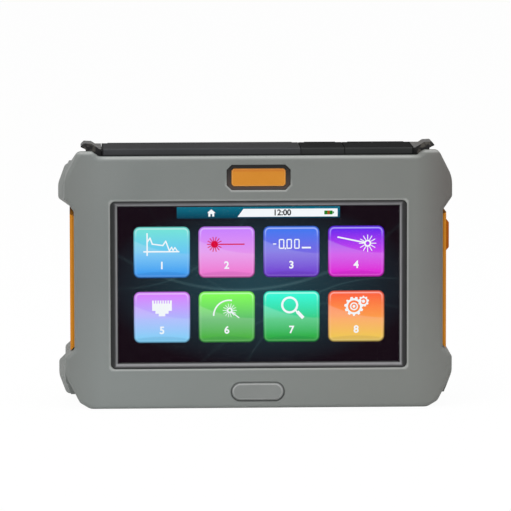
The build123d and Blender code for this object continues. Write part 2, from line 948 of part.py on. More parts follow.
def lid(left, right):
    """One lid: a flat plate, a front lip that turns down, and a rolled rear edge round the rod."""
    axis = hinge_height()
    under = lid_top - lid_thick
    side = Polyline(
        (place(lid_front_depth), lid_lip_low),
        (place(lid_front_depth), lid_top),
        (place(hinge_depth), lid_top),
        (place(hinge_depth), under),
        (place(lid_front_depth + lid_lip), under),
        (place(lid_front_depth + lid_lip), lid_lip_low),
        close=True,
    )
    body = from_side(make_face(side), left, right)
    front = body.edges().filter_by(Axis.X).group_by(Axis.Y)[0].sort_by(Axis.Z)[-1]
    body = fillet(front, lid_round)
    notch = lug_width + lug_gap
    for low in (left - over, right - notch):
        body -= block(
            (low, low + notch + over),
            (hinge_depth - lug_radius - lug_gap, hinge_depth + knuckle_radius() + over),
            (axis - lug_foot - over, lid_top + over),
        )
    knuckle = rod(hinge_depth, axis, knuckle_radius(), left + notch, right - notch)
    body += knuckle
    body -= rod(hinge_depth, axis, hinge_rod_radius + rod_play, left, right)
    wide, deep, tall = scoop_size
    wide = min(wide, (right - left) / 3)
    scoop = Pos((left + right) / 2, place(lid_front_depth), lid_lip_low - scoop_drop)
    return body - scoop * Box(wide, deep, tall)


# Optical ports
def sleeve_radius():
    """Outer radius of the ceramic sleeve in each optical port."""
    return ferrule_radius + sleeve_wall


def optical_port(x, barrel):
    """A metal port: a square flange on the panel, a threaded barrel above and a tail below."""
    top = tub_floor + port_rise
    flange_top = tub_floor + port_flange_thick
    face = RectangleRounded(port_flange, port_flange, port_flange_round)
    body = from_top(Pos(x, place(port_depth)) * face, tub_floor, flange_top)
    reach = port_flange / 2 - flange_hole_inset
    for side in (-1, 1):
        body -= peg(x + side * reach, port_depth + side * reach, flange_hole, tub_floor, flange_top)
    body += peg(x, port_depth, barrel, tub_floor, top)
    body += peg(x, port_depth, port_barrel, tub_floor - port_drop, tub_floor)
    ring_foot = top - barrel_ring_deep
    free = sleeve_radius() + sleeve_play
    ring = peg(x, port_depth, barrel - barrel_wall, ring_foot, top)
    body -= ring - peg(x, port_depth, free, ring_foot, top)
    body -= peg(x, port_depth, sleeve_radius() + press_on, top - ferrule_depth - sleeve_foot, top)
    slot = (x - port_key_slot / 2, x + port_key_slot / 2)
    body -= block(slot, (port_depth - barrel - over, port_depth - free), (top - port_key_deep, top))
    return body


def port_sleeves():
    """The ceramic sleeves that line up the ferrules, one in each optical port."""
    top = tub_floor + port_rise
    found = []
    for x in (otdr_port_x, meter_port_x, locator_port_x):
        tube = peg(x, port_depth, sleeve_radius(), top - ferrule_depth - sleeve_foot, top)
        tube -= peg(x, port_depth, ferrule_radius, top - ferrule_depth, top)
        found.append(tube.solid())
    return Compound(children=found)


def port_nuts():
    """The nuts that hold the optical ports under the floor of the panel."""
    under = tub_floor - tub_floor_thick
    low = under - nut_thick
    found = []
    for x in (otdr_port_x, meter_port_x, locator_port_x):
        hexagon = Pos(x, place(port_depth)) * RegularPolygon(nut_across / 2, 6, major_radius=False)
        nut = from_top(hexagon, low, under) - peg(x, port_depth, port_barrel + press_on, low, under)
        found.append(nut.solid())
    return Compound(children=found)


# Electrical ports
def port_board_top():
    """Height of the upper face of the port board."""
    return tub_floor - tub_floor_thick - port_board_drop


def spacer_places():
    """Centres of the spacers that carry the port board."""
    across, along = spacer_inset
    columns = (port_board_span[0] + across, port_board_span[1] - across)
    rows = (port_board_depths[0] + along, port_board_depths[1] - along)
    return [(x, depth) for x in columns for depth in rows]


def port_board():
    """The board that carries the electrical ports, below the floor of the panel."""
    top = port_board_top()
    board = block(port_board_span, port_board_depths, (top - port_board_thick, top))
    for x, depth in spacer_places():
        board -= peg(x, depth, small_screw_radius + hole_play, top - port_board_thick, top)
    return board


def port_board_screws():
    """Four screws from below that hold the port board to its spacers."""
    seat = port_board_top() - port_board_thick
    found = []
    for x, depth in spacer_places():
        screw = peg(x, depth, small_screw_radius, seat, seat + small_screw_long)
        found.append((screw + peg(x, depth, small_head_radius, seat - small_head, seat)).solid())
    return Compound(children=found)


def upright(x, size, foot):
    """A block on the port board, centred on a port."""
    half_x, half_y = size[0] / 2, size[1] / 2
    depths = (port_depth - half_y, port_depth + half_y)
    return block((x - half_x, x + half_x), depths, (foot, foot + size[2]))


def network_jack():
    """The modular network jack, open at the top with a notch for the latch of the plug."""
    foot = port_board_top()
    top = foot + jack_size[2]
    body = upright(jack_x, jack_size, foot)
    body -= upright(jack_x, jack_mouth, top - jack_mouth[2])
    near = port_depth + jack_mouth[1] / 2
    wide, deep, tall = jack_latch
    return body - block((jack_x - wide / 2, jack_x + wide / 2), (near, near + deep), (top - tall, top))


def jack_contacts():
    """The eight sprung contacts along the front wall of the jack."""
    top = port_board_top() + jack_size[2]
    near = port_depth - jack_mouth[1] / 2
    depths = (near, near + jack_contact_stand)
    heights = (top - jack_mouth[2], top - jack_contact_stop)
    found = []
    for index in range(jack_wires):
        x = jack_x + (index - (jack_wires - 1) / 2) * jack_pitch
        found.append(block((x - jack_contact / 2, x + jack_contact / 2), depths, heights).solid())
    return Compound(children=found)


def usb_socket():
    """The metal shell of the upright data socket."""
    wide, deep, tall = usb_size
    foot = port_board_top()
    inner = (wide - 2 * usb_wall, deep - 2 * usb_wall, tall - usb_floor)
    return upright(usb_x, usb_size, foot) - upright(usb_x, inner, foot + usb_floor)


def usb_tongue_piece():
    """The plastic tongue inside the data socket."""
    foot = port_board_top() + usb_floor
    near = port_depth - usb_size[1] / 2 + usb_wall
    half = usb_tongue[0] / 2
    return block((usb_x - half, usb_x + half), (near, near + usb_tongue[1]), (foot, foot + usb_tongue[2]))


def charge_inlet():
    """The round charging inlet."""
    foot = port_board_top()
    top = foot + inlet_size[2]
    body = upright(inlet_x, inlet_size, foot)
    return body - peg(inlet_x, port_depth, inlet_bore, top - inlet_deep, top)


def inlet_pin_piece():
    """The centre pin of the charging inlet."""
    top = port_board_top() + inlet_size[2]
    return peg(inlet_x, port_depth, inlet_pin, top - inlet_deep, top - inlet_pin_stop)


# Boards and modules
def board_near():
    """Depth of the front face of the main board."""
    return front_wall + touch_thick + display_thick + plate_thick + standoff


def board_screw_places():
    """Centres of the main board's standoffs and screws."""
    across = board_size[0] / 2 - standoff_inset
    up = board_size[1] / 2 - standoff_inset
    return [(x, board_centre + z) for x in (-across, 0.0, across) for z in (-up, up)]


def board_standoffs():
    """Six standoffs between the display plate and the main board."""
    far = board_near()
    near = far - standoff
    found = []
    for x, z in board_screw_places():
        tube = post(x, z, standoff_radius, near, far)
        found.append((tube - post(x, z, small_screw_radius + press_on, near + over, far)).solid())
    return Compound(children=found)


def chip_places():
    """Centres of the packaged chips on the main board."""
    left, right, foot, head = chip_inset
    columns = (left - board_size[0] / 2, board_size[0] / 2 - right)
    rows = (board_centre - board_size[1] / 2 + foot, board_centre + board_size[1] / 2 - head)
    return [(x, z) for x in columns for z in rows]


def main_board():
    """The main circuit board, with its packaged chips soldered on."""
    near, far = board_near(), board_near() + board_thick
    board = from_front(bar((0, board_centre), board_size, board_round), near, far)
    for x, z in board_screw_places():
        board -= post(x, z, small_screw_radius + hole_play, near, far)
    wide, tall, high = chip_size
    for x, z in chip_places():
        board += block((x - wide / 2, x + wide / 2), (far, far + high), (z - tall / 2, z + tall / 2))
    return board


def board_screws():
    """Six screws that hold the main board to its standoffs."""
    seat = board_near() + board_thick
    found = [small_screw(x, z, seat, small_screw_long, 1).solid() for x, z in board_screw_places()]
    return Compound(children=found)


def processor_shield():
    """The tin shield over the processor."""
    left, right, low, high = shield_margin
    half_x, half_z = board_size[0] / 2, board_size[1] / 2
    near = board_near() + board_thick
    span = (left - half_x, half_x - right)
    rows = (board_centre - half_z + low, board_centre + half_z - high)
    can = block(span, (near, near + shield_high), rows)
    hollow = block(
        (span[0] + shield_wall, span[1] - shield_wall),
        (near, near + shield_high - shield_wall),
        (rows[0] + shield_wall, rows[1] - shield_wall),
    )
    return can - hollow


def optics_module():
    """The sealed optics module: pulsed laser, detector and coupler in a cast box."""
    near, far = module_depths
    body = block(module_span[0], module_depths, module_span[1])
    body = fillet(body.edges().filter_by(Axis.Y), module_round)
    middle = (module_span[0][0] + module_span[0][1]) / 2
    wide, deep = fin_groove
    rows = (module_span[1][0] + fin_margin, module_span[1][1] - fin_margin)
    for index in range(fins):
        x = middle + (index - (fins - 1) / 2) * fin_pitch
        body -= block((x - wide / 2, x + wide / 2), (near, near + deep), rows)
    for x in module_post_x:
        for z in module_post_rows:
            body -= post(x, z, small_screw_radius + hole_play, near, far)
            body -= post(x, z, small_head_radius + 2 * hole_play, near, far - module_lug)
    return body


def module_screws():
    """Four screws that hold the optics module to its posts."""
    found = []
    for x in module_post_x:
        for z in module_post_rows:
            found.append(small_screw(x, z, module_depths[1] - module_lug, -module_screw_long, -1).solid())
    return Compound(children=found)


def reel_posts():
    """Centres of the posts under the fibre reel."""
    x, z = reel_centre
    return [(x + a * reel_post_step, z + b * reel_post_step) for a in (-1, 1) for b in (-1, 1)]


def fibre_reel():
    """The tray that keeps the spare inner fibre in a loose ring."""
    near, far = reel_depths
    body = from_front(bar(reel_centre, (2 * reel_half, 2 * reel_half), reel_corner), near, far)
    centre = Pos(*reel_centre)
    ring = centre * Circle(reel_half - reel_rim) - centre * Circle(reel_hub)
    return body - from_front(ring, near, far - reel_floor)


def fibre_coil():
    """The ring of spare inner fibre, lying on the floor of its tray."""
    far = reel_depths[1] - reel_floor
    centre = Pos(*reel_centre)
    inner, outer = coil_radii
    ring = from_front(centre * Circle(outer) - centre * Circle(inner), far - coil_thick, far)
    return chamfer(ring.edges().filter_by(GeomType.CIRCLE), coil_edge)


def battery_tray():
    """The tray that lines the battery bay, open to the back."""
    near = thick_wall_depth - battery[2] - tray_wall - battery_play
    outer = from_front(battery_opening(tray_wall), near, thick_wall_depth)
    return outer - from_front(battery_opening(0), near + tray_wall, thick_wall_depth)


def battery_pack():
    """The rechargeable pack: four cells side by side in a wrapped block."""
    wide, tall, deep = battery
    near = thick_wall_depth - deep - battery_play
    far = near + deep
    cell = wide / cell_count
    half, groove_deep = cell_groove
    pack = from_front(Pos(0, battery_centre) * Rectangle(wide, tall), near, far)
    pack = fillet(pack.edges().filter_by(Axis.Z), (deep - groove_deep) / 2)
    low, high = battery_centre - tall / 2, battery_centre + tall / 2
    for index in range(1, cell_count):
        x = index * cell - wide / 2
        for depth, tip in ((near, near + groove_deep), (far, far - groove_deep)):
            face = Polyline((x - half, place(depth)), (x + half, place(depth)), (x, place(tip)), close=True)
            pack -= from_top(make_face(face), low, high)
    return pack


def battery_door():
    """The battery door, flush with the bed of the stand."""
    far = stand_floor()
    door = from_front(door_sketch(door_gap), far - door_thick, far)
    for side in (-1, 1):
        x = side * door_screw_x
        door -= post(x, door_screw_row(), small_screw_radius + hole_play, far - door_thick, far)
        door -= post(x, door_screw_row(), door_head_radius + hole_play, far - door_head, far)
    return door


def door_screws():
    """Two flat screws that hold the battery door, level with its outer face."""
    far = stand_floor()
    seat = far - door_head
    found = []
    for side in (-1, 1):
        x = side * door_screw_x
        screw = post(x, door_screw_row(), small_screw_radius, far - door_screw_long, seat)
        found.append((screw + post(x, door_screw_row(), door_head_radius, seat, far)).solid())
    return Compound(children=found)


def speaker():
    """The small speaker behind its slots."""
    far = case_depth - back_wall
    near = far - speaker_deep
    x, z = speaker_place
    body = post(x, z, speaker_radius, near + speaker_rim, far)
    return body + post(x, z, speaker_magnet, near, near + speaker_rim)


# Stand
def stand_axis_depth():
    """Depth of the stand's hinge axis."""
    return stand_floor() + stand_gap + stand_thick / 2


def stand():
    """The stand folded into the back, with a rolled upper edge and a finger notch below."""
    near = stand_axis_depth() - stand_thick / 2
    far = near + stand_thick
    leaf = block((-stand_half, stand_half), (near, far), (stand_low, stand_axis))
    leaf = fillet(leaf.edges().filter_by(Axis.Y).group_by(Axis.Z)[0], stand_corner)
    leaf -= from_front(Pos(0, stand_low) * SlotOverall(*stand_notch), near, far)
    leaf += rod(stand_axis_depth(), stand_axis, stand_thick / 2, -stand_half, stand_half)
    for side in (-1, 1):
        ends = sorted((side * (stand_half - stand_pin_reach), side * stand_half))
        leaf -= rod(stand_axis_depth(), stand_axis, stand_pin_radius + rod_play, *ends)
    margin, groove_tall, groove_deep = stand_groove
    low = stand_low + stand_groove_margin
    step = (stand_axis - stand_groove_end - low) / (stand_grooves - 1)
    for index in range(stand_grooves):
        size = (2 * stand_half - margin, groove_tall)
        groove = bar((0, low + index * step), size, groove_tall / 2 - hole_play)
        leaf -= from_front(groove, far - groove_deep, far)
    return leaf


def stand_pins():
    """The two pins that carry the stand in the back of the case."""
    found = []
    for side in (-1, 1):
        inner = side * (stand_half - stand_pin_reach + stand_pin_play)
        outer = side * (stand_half + stand_gap + stand_pin_reach)
        pin = rod(stand_axis_depth(), stand_axis, stand_pin_radius, *sorted((inner, outer)))
        found.append(pin.solid())
    return Compound(children=found)


def build_all():
    """Every piece by name."""
    form = outer_form()
    pieces = {
        "front_shell": front_shell(form),
        "rear_shell": rear_shell(form),
        "shell_gasket": shell_gasket(form),
        "left_side_panel": side_panel(-1),
        "right_side_panel": side_panel(1),
        "case_screws": case_screws(),
        "screen_bezel": screen_bezel(),
        "touch_glass": touch_glass(),
        "display_panel": display_panel(),
        "display_plate": display_plate(),
        "plate_screws": plate_screws(),
        "badge_surround": badge_surround(),
        "badge_plate": badge_plate(),
        "front_key": front_key(),
        "front_key_switch": front_key_switch(),
        "front_key_board": front_key_board(),
        "side_key": side_key(),
        "side_key_switch": side_key_switch(),
        "side_key_board": side_key_board(),
        "port_panel": port_panel(),
        "hinge_rod": hinge_rod(),
        "otdr_port": optical_port(otdr_port_x, port_barrel),
        "power_meter_port": optical_port(meter_port_x, meter_barrel),
        "fault_locator_port": optical_port(locator_port_x, locator_barrel),
        "port_sleeves": port_sleeves(),
        "port_nuts": port_nuts(),
        "port_board": port_board(),
        "port_board_screws": port_board_screws(),
        "network_jack": network_jack(),
        "jack_contacts": jack_contacts(),
        "usb_socket": usb_socket(),
        "usb_tongue": usb_tongue_piece(),
        "charge_inlet": charge_inlet(),
        "inlet_pin": inlet_pin_piece(),
        "main_board": main_board(),
        "board_standoffs": board_standoffs(),
        "board_screws": board_screws(),
        "processor_shield": processor_shield(),
        "optics_module": optics_module(),
        "module_screws": module_screws(),
        "fibre_reel": fibre_reel(),
        "fibre_coil": fibre_coil(),
        "battery_tray": battery_tray(),
        "battery_pack": battery_pack(),
        "battery_door": battery_door(),
        "door_screws": door_screws(),
        "speaker": speaker(),
        "stand": stand(),
        "stand_pins": stand_pins(),
    }
    for name, span in zip(("long_lid", "middle_lid", "short_lid"), lid_spans()):
        pieces[name] = lid(*span)
    return pieces


os.makedirs("parts", exist_ok=True)
for piece_name, piece in build_all().items():
    save(piece_name, piece)
    print(piece_name, len(piece.solids()), round(piece.volume, 1))
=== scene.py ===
# %% [markdown]
# A handheld tester for optical fibre, dressed for its picture. The solid model comes first, and
# nothing below moves it. This file gives each of its pieces a finish, lights the screen, and adds the
# fine things that are too small for the solid model: the picture on the screen, the threads on the
# ports, the turns of spare fibre and the small parts on the board. Lengths are written in millimetres
# and multiplied by mm, since Blender works in metres. The solid model's front face lies at depth 0,
# and depth grows to the back.

from math import atan, cos, pi, radians, sin

import bmesh
import bpy
from mathutils import Matrix, Quaternion, Vector


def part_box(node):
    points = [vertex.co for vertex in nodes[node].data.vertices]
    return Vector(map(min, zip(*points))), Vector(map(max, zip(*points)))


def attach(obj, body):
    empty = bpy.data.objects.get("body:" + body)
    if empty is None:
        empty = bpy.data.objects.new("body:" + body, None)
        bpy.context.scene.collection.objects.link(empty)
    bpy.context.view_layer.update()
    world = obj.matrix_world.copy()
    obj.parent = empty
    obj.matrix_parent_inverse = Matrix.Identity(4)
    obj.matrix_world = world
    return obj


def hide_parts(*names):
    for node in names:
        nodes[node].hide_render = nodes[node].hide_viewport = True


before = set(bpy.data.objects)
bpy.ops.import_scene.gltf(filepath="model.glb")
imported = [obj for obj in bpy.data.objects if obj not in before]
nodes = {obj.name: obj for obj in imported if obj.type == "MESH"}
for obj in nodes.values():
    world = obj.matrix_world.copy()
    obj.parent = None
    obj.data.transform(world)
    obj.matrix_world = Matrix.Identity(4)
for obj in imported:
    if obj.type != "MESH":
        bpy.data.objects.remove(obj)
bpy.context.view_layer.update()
mm = 0.001
front_face = -29.0
print("pieces in the solid model:", len(nodes))

# %% [markdown]
# Shader maths is easier to read as ordinary sums. A small class stands for one socket of a node,
# and its plus, minus and times signs add Math nodes. The other class holds the nodes of one
# finish. One function adds any node, to a finish or to another tree: the node's settings are set
# first, and then its inputs are set or linked.

# %% Shader values that can be added and multiplied
class Value:
    """One socket of a shader, for use in sums."""

    def __init__(self, finish, socket):
        self.finish = finish
        self.socket = socket

    def math(self, operation, left, right=0.0):
        return self.finish.node("ShaderNodeMath", {"operation": operation}, {0: left, 1: right})

    def __add__(self, other):
        return self.math("ADD", self, other)

    def __sub__(self, other):
        return self.math("SUBTRACT", self, other)

    def __rsub__(self, other):
        return self.math("SUBTRACT", other, self)

    def __mul__(self, other):
        return self.math("MULTIPLY", self, other)

    def __truediv__(self, other):
        return self.math("DIVIDE", self, other)

    def __pow__(self, other):
        return self.math("POWER", self, other)

    def __lt__(self, other):
        return self.math("LESS_THAN", self, other)

    def __gt__(self, other):
        return self.math("GREATER_THAN", self, other)

    def __abs__(self):
        return self.math("ABSOLUTE", self)

    def floor(self):
        return self.math("FLOOR", self)

    def most(self, other):
        return self.math("MAXIMUM", self, other)

    __radd__ = __add__
    __rmul__ = __mul__

# %% The nodes of one finish
def srgb(red, green, blue):
    """A colour from the 0 to 255 values of a picture, as the shader wants it."""
    def straight(value):
        part = value / 255
        return part / 12.92 if part <= 0.04045 else ((part + 0.055) / 1.055) ** 2.4
    return (straight(red), straight(green), straight(blue), 1.0)


def feed(tree, socket, value):
    """Links an input to what feeds it, or sets it."""
    if isinstance(value, Value):
        value = value.socket
    if isinstance(value, bpy.types.NodeSocket):
        tree.links.new(value, socket)
    else:
        socket.default_value = value


def add_node(tree, kind, settings, sockets):
    """Adds a node. Its inputs are given by name or by place."""
    made = tree.nodes.new(kind)
    for key, value in settings.items():
        if key == "stops":
            ramp = made.color_ramp
            while len(ramp.elements) < len(value):
                ramp.elements.new(1.0)
            for element, (position, colour) in zip(ramp.elements, value):
                element.position = position
                element.color = colour
        elif key == "interpolation":
            made.color_ramp.interpolation = value
        else:
            setattr(made, key, value)
    for key, value in sockets.items():
        feed(tree, made.inputs[key], value)
    return made


class Finish:
    """A material with its main shader, and the nodes that most finishes need."""

    def __init__(self, name, **constants):
        self.material = bpy.data.materials.new(name)
        self.material.use_nodes = True
        self.tree = self.material.node_tree
        self.shader = self.tree.nodes["Principled BSDF"]
        for socket, value in constants.items():
            self.shader.inputs[socket.replace("_", " ")].default_value = value

    def node(self, kind, settings, sockets, output=0):
        return Value(self, add_node(self.tree, kind, settings, sockets).outputs[output])

    def place(self):
        """Object coordinates, and their three parts in metres."""
        spot = self.node("ShaderNodeTexCoord", {}, {}, 3)
        parts = add_node(self.tree, "ShaderNodeSeparateXYZ", {}, {0: spot})
        return spot, [Value(self, socket) for socket in parts.outputs]

    def noise(self, spot, scale, detail=2.0):
        return self.node("ShaderNodeTexNoise", {}, {
            "Vector": spot, "Scale": scale, "Detail": detail,
        })

    def mix(self, share, first, second):
        """A blend of two colours."""
        return self.node("ShaderNodeMix", {"data_type": "RGBA"}, {0: share, 6: first, 7: second}, 2)

    def step(self, value, low, high):
        """Zero below low, one above high, and a straight rise between."""
        return self.node("ShaderNodeMapRange", {}, {0: value, 1: low, 2: high})

    def past(self, value, low, high):
        """A step whose low and high are given in millimetres."""
        return self.step(value, low * mm, high * mm)

    def near(self, value, low, high):
        """One below low millimetres, zero above high ones, and a straight fall between."""
        return 1 - self.past(value, low, high)

    def bump(self, height, strength, distance):
        """A normal bent by a height. The distance is in millimetres."""
        return self.node("ShaderNodeBump", {}, {
            "Strength": strength, "Distance": distance * mm, "Height": height,
        })

    def grain(self, spot, drift_scale=18.0, fine_scale=2500.0):
        """A slow drift and a fine grain, the two noises that every moulded part has."""
        return self.noise(spot, drift_scale, 3.0), self.noise(spot, fine_scale)

    def moulding(self, colour, slow, fine, rough, height=0.06, strength=0.35):
        """Sets a colour, and the roughness and bump that belong to a grain."""
        return self.set(
            Base_Color=colour,
            Roughness=slow * 0.12 + fine * 0.08 + rough,
            Normal=self.bump(fine, strength, height),
        )

    def set(self, **inputs):
        for socket, value in inputs.items():
            feed(self.tree, self.shader.inputs[socket.replace("_", " ")], value)
        return self


def tinted(colour, share):
    """A colour made darker or paler by a share."""
    return tuple(min(1.0, part * share) for part in colour[:3]) + (1.0,)


def dress(finish, *names):
    """Gives a finish to pieces of the solid model."""
    for name in names:
        mesh = nodes[name].data
        mesh.materials.clear()
        mesh.materials.append(finish.material)
    print(finish.material.name, "on", len(names), "pieces")

# %% [markdown]
# Moulded plastic is never one flat colour. It has a fine grain from the mould, a slow drift of
# shade across the part, and a roughness that changes a little where hands have rubbed it. One
# function makes all the plastics from a colour, a grain size and a roughness. Noise that reads
# Object coordinates fits best here, because it needs no unwrapping and it doesn't stretch.

# %% Moulded plastics
def moulded(name, colour, rough, grain_size, grain_height, drift=0.06, gloss=0.5):
    """A plain plastic. The grain's size and height are in millimetres."""
    finish = Finish(name, Specular_IOR_Level=gloss)
    spot, _ = finish.place()
    slow, fine = finish.grain(spot, fine_scale=1 / (grain_size * mm))
    shade = finish.step(slow * 0.75 + fine * 0.25, 0.3, 0.7)
    colour = finish.mix(shade, tinted(colour, 1 - 2 * drift), tinted(colour, 1 + drift))
    return finish.moulding(colour, slow, fine, rough - 0.1, grain_height)


orange_panel = moulded("orange_side_panel", srgb(198, 126, 30), 0.6, 0.4, 0.05, gloss=0.1)
orange_key = moulded("orange_key_rubber", srgb(170, 88, 8), 0.7, 0.3, 0.04, gloss=0.1)
black_inner = moulded("black_inner_plastic", srgb(30, 30, 32), 0.5, 0.5, 0.05)
white_inner = moulded("white_inner_plastic", srgb(222, 221, 214), 0.5, 0.5, 0.04)
seal_rubber = moulded("dark_seal_rubber", srgb(22, 22, 23), 0.8, 0.3, 0.04)

dress(orange_panel, "left_side_panel", "right_side_panel")
dress(orange_key, "side_key")
dress(black_inner, "network_jack", "charge_inlet", "battery_tray", "speaker", "front_key_switch",
      "side_key_switch")
dress(white_inner, "usb_tongue", "fibre_reel")
dress(seal_rubber, "shell_gasket")

# %% [markdown]
# The port panel is black, but its ends stand up beside the lids and get knocked. Blotches of a
# paler, brownish grey show there. A coarse noise makes them, and they fade out towards the middle.

# %% Port panel
lid_end = 85.3


def panel_finish():
    finish = Finish("black_port_panel", Specular_IOR_Level=0.25)
    spot, (x, _, _) = finish.place()
    slow, fine = finish.grain(spot, 30.0)
    blotch = finish.noise(spot, 330.0, 3.0)
    at_end = finish.past(abs(x), lid_end, lid_end + 1.2)
    knocked = finish.step(blotch, 0.47, 0.62) * at_end
    black = finish.mix(slow, srgb(27, 26, 27), srgb(35, 34, 35))
    return finish.set(
        Base_Color=finish.mix(knocked * 0.6, black, srgb(104, 100, 93)),
        Roughness=slow * 0.12 + fine * 0.08 + knocked * 0.2 + 0.4,
        Normal=finish.bump(blotch * 0.5 + fine * 0.5, 0.35, 0.06),
    )


dress(panel_finish(), "port_panel")

# %% [markdown]
# The lids are a harder rubber. Their front edges are painted a little paler than the tops, as painted
# light. The middle and short lids are painted darker than the long lid, as painted shade. Painted
# shade also lies in a dark line at the ends and along the seam with the case.

# %% Lids
lid_front, case_top = -19.0, 138.6


def lid_finish(name, top, painted_lit_front, gloss):
    finish = Finish(name, Specular_IOR_Level=gloss)
    spot, (x, y, z) = finish.place()
    slow, fine = finish.grain(spot, 30.0)
    # Painted light: the front lip is paler than the top.
    painted_light_mask = finish.near(y, lid_front - 0.5, lid_front + 0.5)
    shade = finish.mix(painted_light_mask, top, painted_lit_front)
    # Painted shade in the gaps: a dark line at the ends and along the seam with the case.
    at_end = finish.past(abs(x), lid_end - 0.9, lid_end - 0.5)
    lid_gap_shade = finish.near(z, case_top + 0.4, case_top + 0.9) * painted_light_mask
    shade = finish.mix(at_end.most(lid_gap_shade) * 0.75, shade, srgb(14, 14, 14))
    cloud = finish.step(slow * 0.7 + fine * 0.3, 0.35, 0.7) * 0.14
    return finish.moulding(finish.mix(cloud, shade, srgb(12, 12, 13)), slow, fine, 0.7)


# The middle and short lids get darker colours than the long lid, as painted shade.
long_lid_black = lid_finish("black_port_lid", srgb(47, 47, 48), srgb(68, 69, 71), 0.03)
short_lid_shaded = lid_finish("black_short_port_lid", srgb(29, 29, 29), srgb(56, 57, 57), 0.005)
dress(long_lid_black, "long_lid")
dress(short_lid_shaded, "middle_lid", "short_lid")

# %% [markdown]
# The case has the same grain. Its finish also works out how far a point lies from the screen opening,
# from the plate's recess and from the top edge, and mixes in a paler grey close to them as a painted
# highlight on these edges. It also has painted shade and light: it gets darker and warmer to the
# right as painted shade, paler to the foot as painted light, and the rubber-like corners are darker
# as painted shade. A dark line of painted shade runs round the hole of the front key.

# %% Grey case
crest_top = 141.4
screen_z, plate_z = 68.2, 127.3
screen_opening = (162.6, 92.6, 0.8)
plate_recess, plate_edge = (35.0, 14.0, 2.8), (29.8, 9.9, 1.2)
key_x, key_z = -0.7, 9.2
key_straight, key_round = 9.4, 5.35


def edge_distance(x, z, centre, wide, tall, cut):
    """Distance in metres outside a rectangle, from its width, height and corner cut."""
    off_x = abs(x) - wide / 2 * mm
    off_z = abs(z - centre * mm) - tall / 2 * mm
    return off_x.most(off_z).most((off_x + off_z + cut * mm) * 0.707)


def key_distance(x, z):
    """Distance in metres outside the hole of the front key. Inside the hole it is below zero."""
    off_x = (abs(x - key_x * mm) - key_straight * mm).most(0.0)
    off_z = z - key_z * mm
    return (off_x * off_x + off_z * off_z) ** 0.5 - key_round * mm


def case_finish():
    finish = Finish("soft_grey_case", Specular_IOR_Level=0.3)
    spot, (x, y, z) = finish.place()
    slow, fine = finish.grain(spot)
    shade = finish.step(slow * 0.75 + fine * 0.25, 0.3, 0.7)
    grey = finish.mix(shade, srgb(113, 118, 116), srgb(124, 128, 126))
    # Painted light: paler towards the foot.
    grey = finish.mix(finish.near(z, 14.0, 70.0) * 0.75, grey, srgb(131, 136, 134))
    # Painted shade: darker and warmer to the right.
    grey = finish.mix(finish.past(x, -70.0, 100.0) * 0.62, grey, srgb(111, 112, 107))
    # Painted shade on the rubber-like corners, on the right strongest high up.
    grey = finish.mix(finish.past(-1 * x, 86.0, 104.0) * 0.5, grey, srgb(106, 108, 105))
    upper = finish.past(z, 30.0, 100.0) * 0.55 + 0.3
    grey = finish.mix(finish.past(x, 86.0, 103.0) * upper, grey, srgb(92, 88, 85))
    front = y < (front_face + 3.5) * mm
    # Painted highlight along the edges of the screen opening, the plate's recess, the top edge and
    # the crests.
    opening = finish.near(edge_distance(x, z, screen_z, *screen_opening), 0.2, 1.2)
    recess = finish.near(edge_distance(x, z, plate_z, *plate_recess), 0.2, 1.3)
    recess = recess * (1.4 - finish.past(z, plate_z - 8.3, plate_z - 0.3) * 1.4)
    crests = finish.past(z, crest_top - 1.3, crest_top - 0.2)
    middle = finish.past(z, case_top - 1.5, case_top - 0.3) * finish.near(abs(x), 83.0, 89.0)
    painted_edge_highlight = opening.most(recess).most(middle).most(crests) * front
    grey = finish.mix(painted_edge_highlight * 0.38, grey, srgb(196, 198, 195))
    # Painted shade in the gap round the front key.
    key_gap_shade = finish.near(key_distance(x, z), 0.1, 0.5)
    grey = finish.mix(key_gap_shade * front * 0.5, grey, srgb(70, 73, 72))
    return finish.moulding(grey, slow, fine, 0.52)


dress(case_finish(), "front_shell", "rear_shell", "stand", "battery_door")

# %% [markdown]
# The key has a pale line of painted highlight just inside its edge, strongest at the top. The plate
# above the screen has a painted highlight on its edges and painted shade, a deeper orange, along its
# top, and the frame round it goes from black at the top, where it lies in shade, to a warm brown
# below. All three are found by distance again.

# %% Key, plate and the frame round the plate
def key_finish():
    finish = Finish("grey_key_cap", Specular_IOR_Level=0.4)
    spot, (x, _, z) = finish.place()
    slow, fine = finish.grain(spot, 60.0, 3000.0)
    # Painted highlight just inside the key's edge, strongest at the top.
    painted_light_mask = finish.near(abs(key_distance(x, z) + 1.1 * mm), 0.2, 0.8)
    painted_light_mask = painted_light_mask * (finish.past(z, key_z - 3.2, key_z + 3.8) * 0.4 + 0.25)
    grey = finish.mix(slow, srgb(122, 125, 123), srgb(130, 133, 131))
    grey = finish.mix(painted_light_mask, grey, srgb(192, 194, 193))
    return finish.moulding(grey, slow, fine, 0.4, 0.04)


def plate_finish():
    finish = Finish("orange_bare_plate", Specular_IOR_Level=0.25)
    spot, (x, _, z) = finish.place()
    slow, fine = finish.grain(spot, 90.0, 3000.0)
    # Painted highlight on the edges of the plate.
    rim = finish.past(edge_distance(x, z, plate_z, *plate_edge), -0.9, -0.2)
    orange = finish.mix(slow, srgb(196, 123, 22), srgb(205, 133, 38))
    # Painted shade: a deeper orange along the top of the plate.
    painted_top_shade = finish.past(z, plate_z + 2.6, plate_z + 3.7)
    orange = finish.mix(painted_top_shade * 0.5, orange, srgb(188, 100, 24))
    orange = finish.mix(rim * 0.4, orange, srgb(236, 178, 112))
    return finish.moulding(orange, slow, fine, 0.35, 0.03, 0.3)


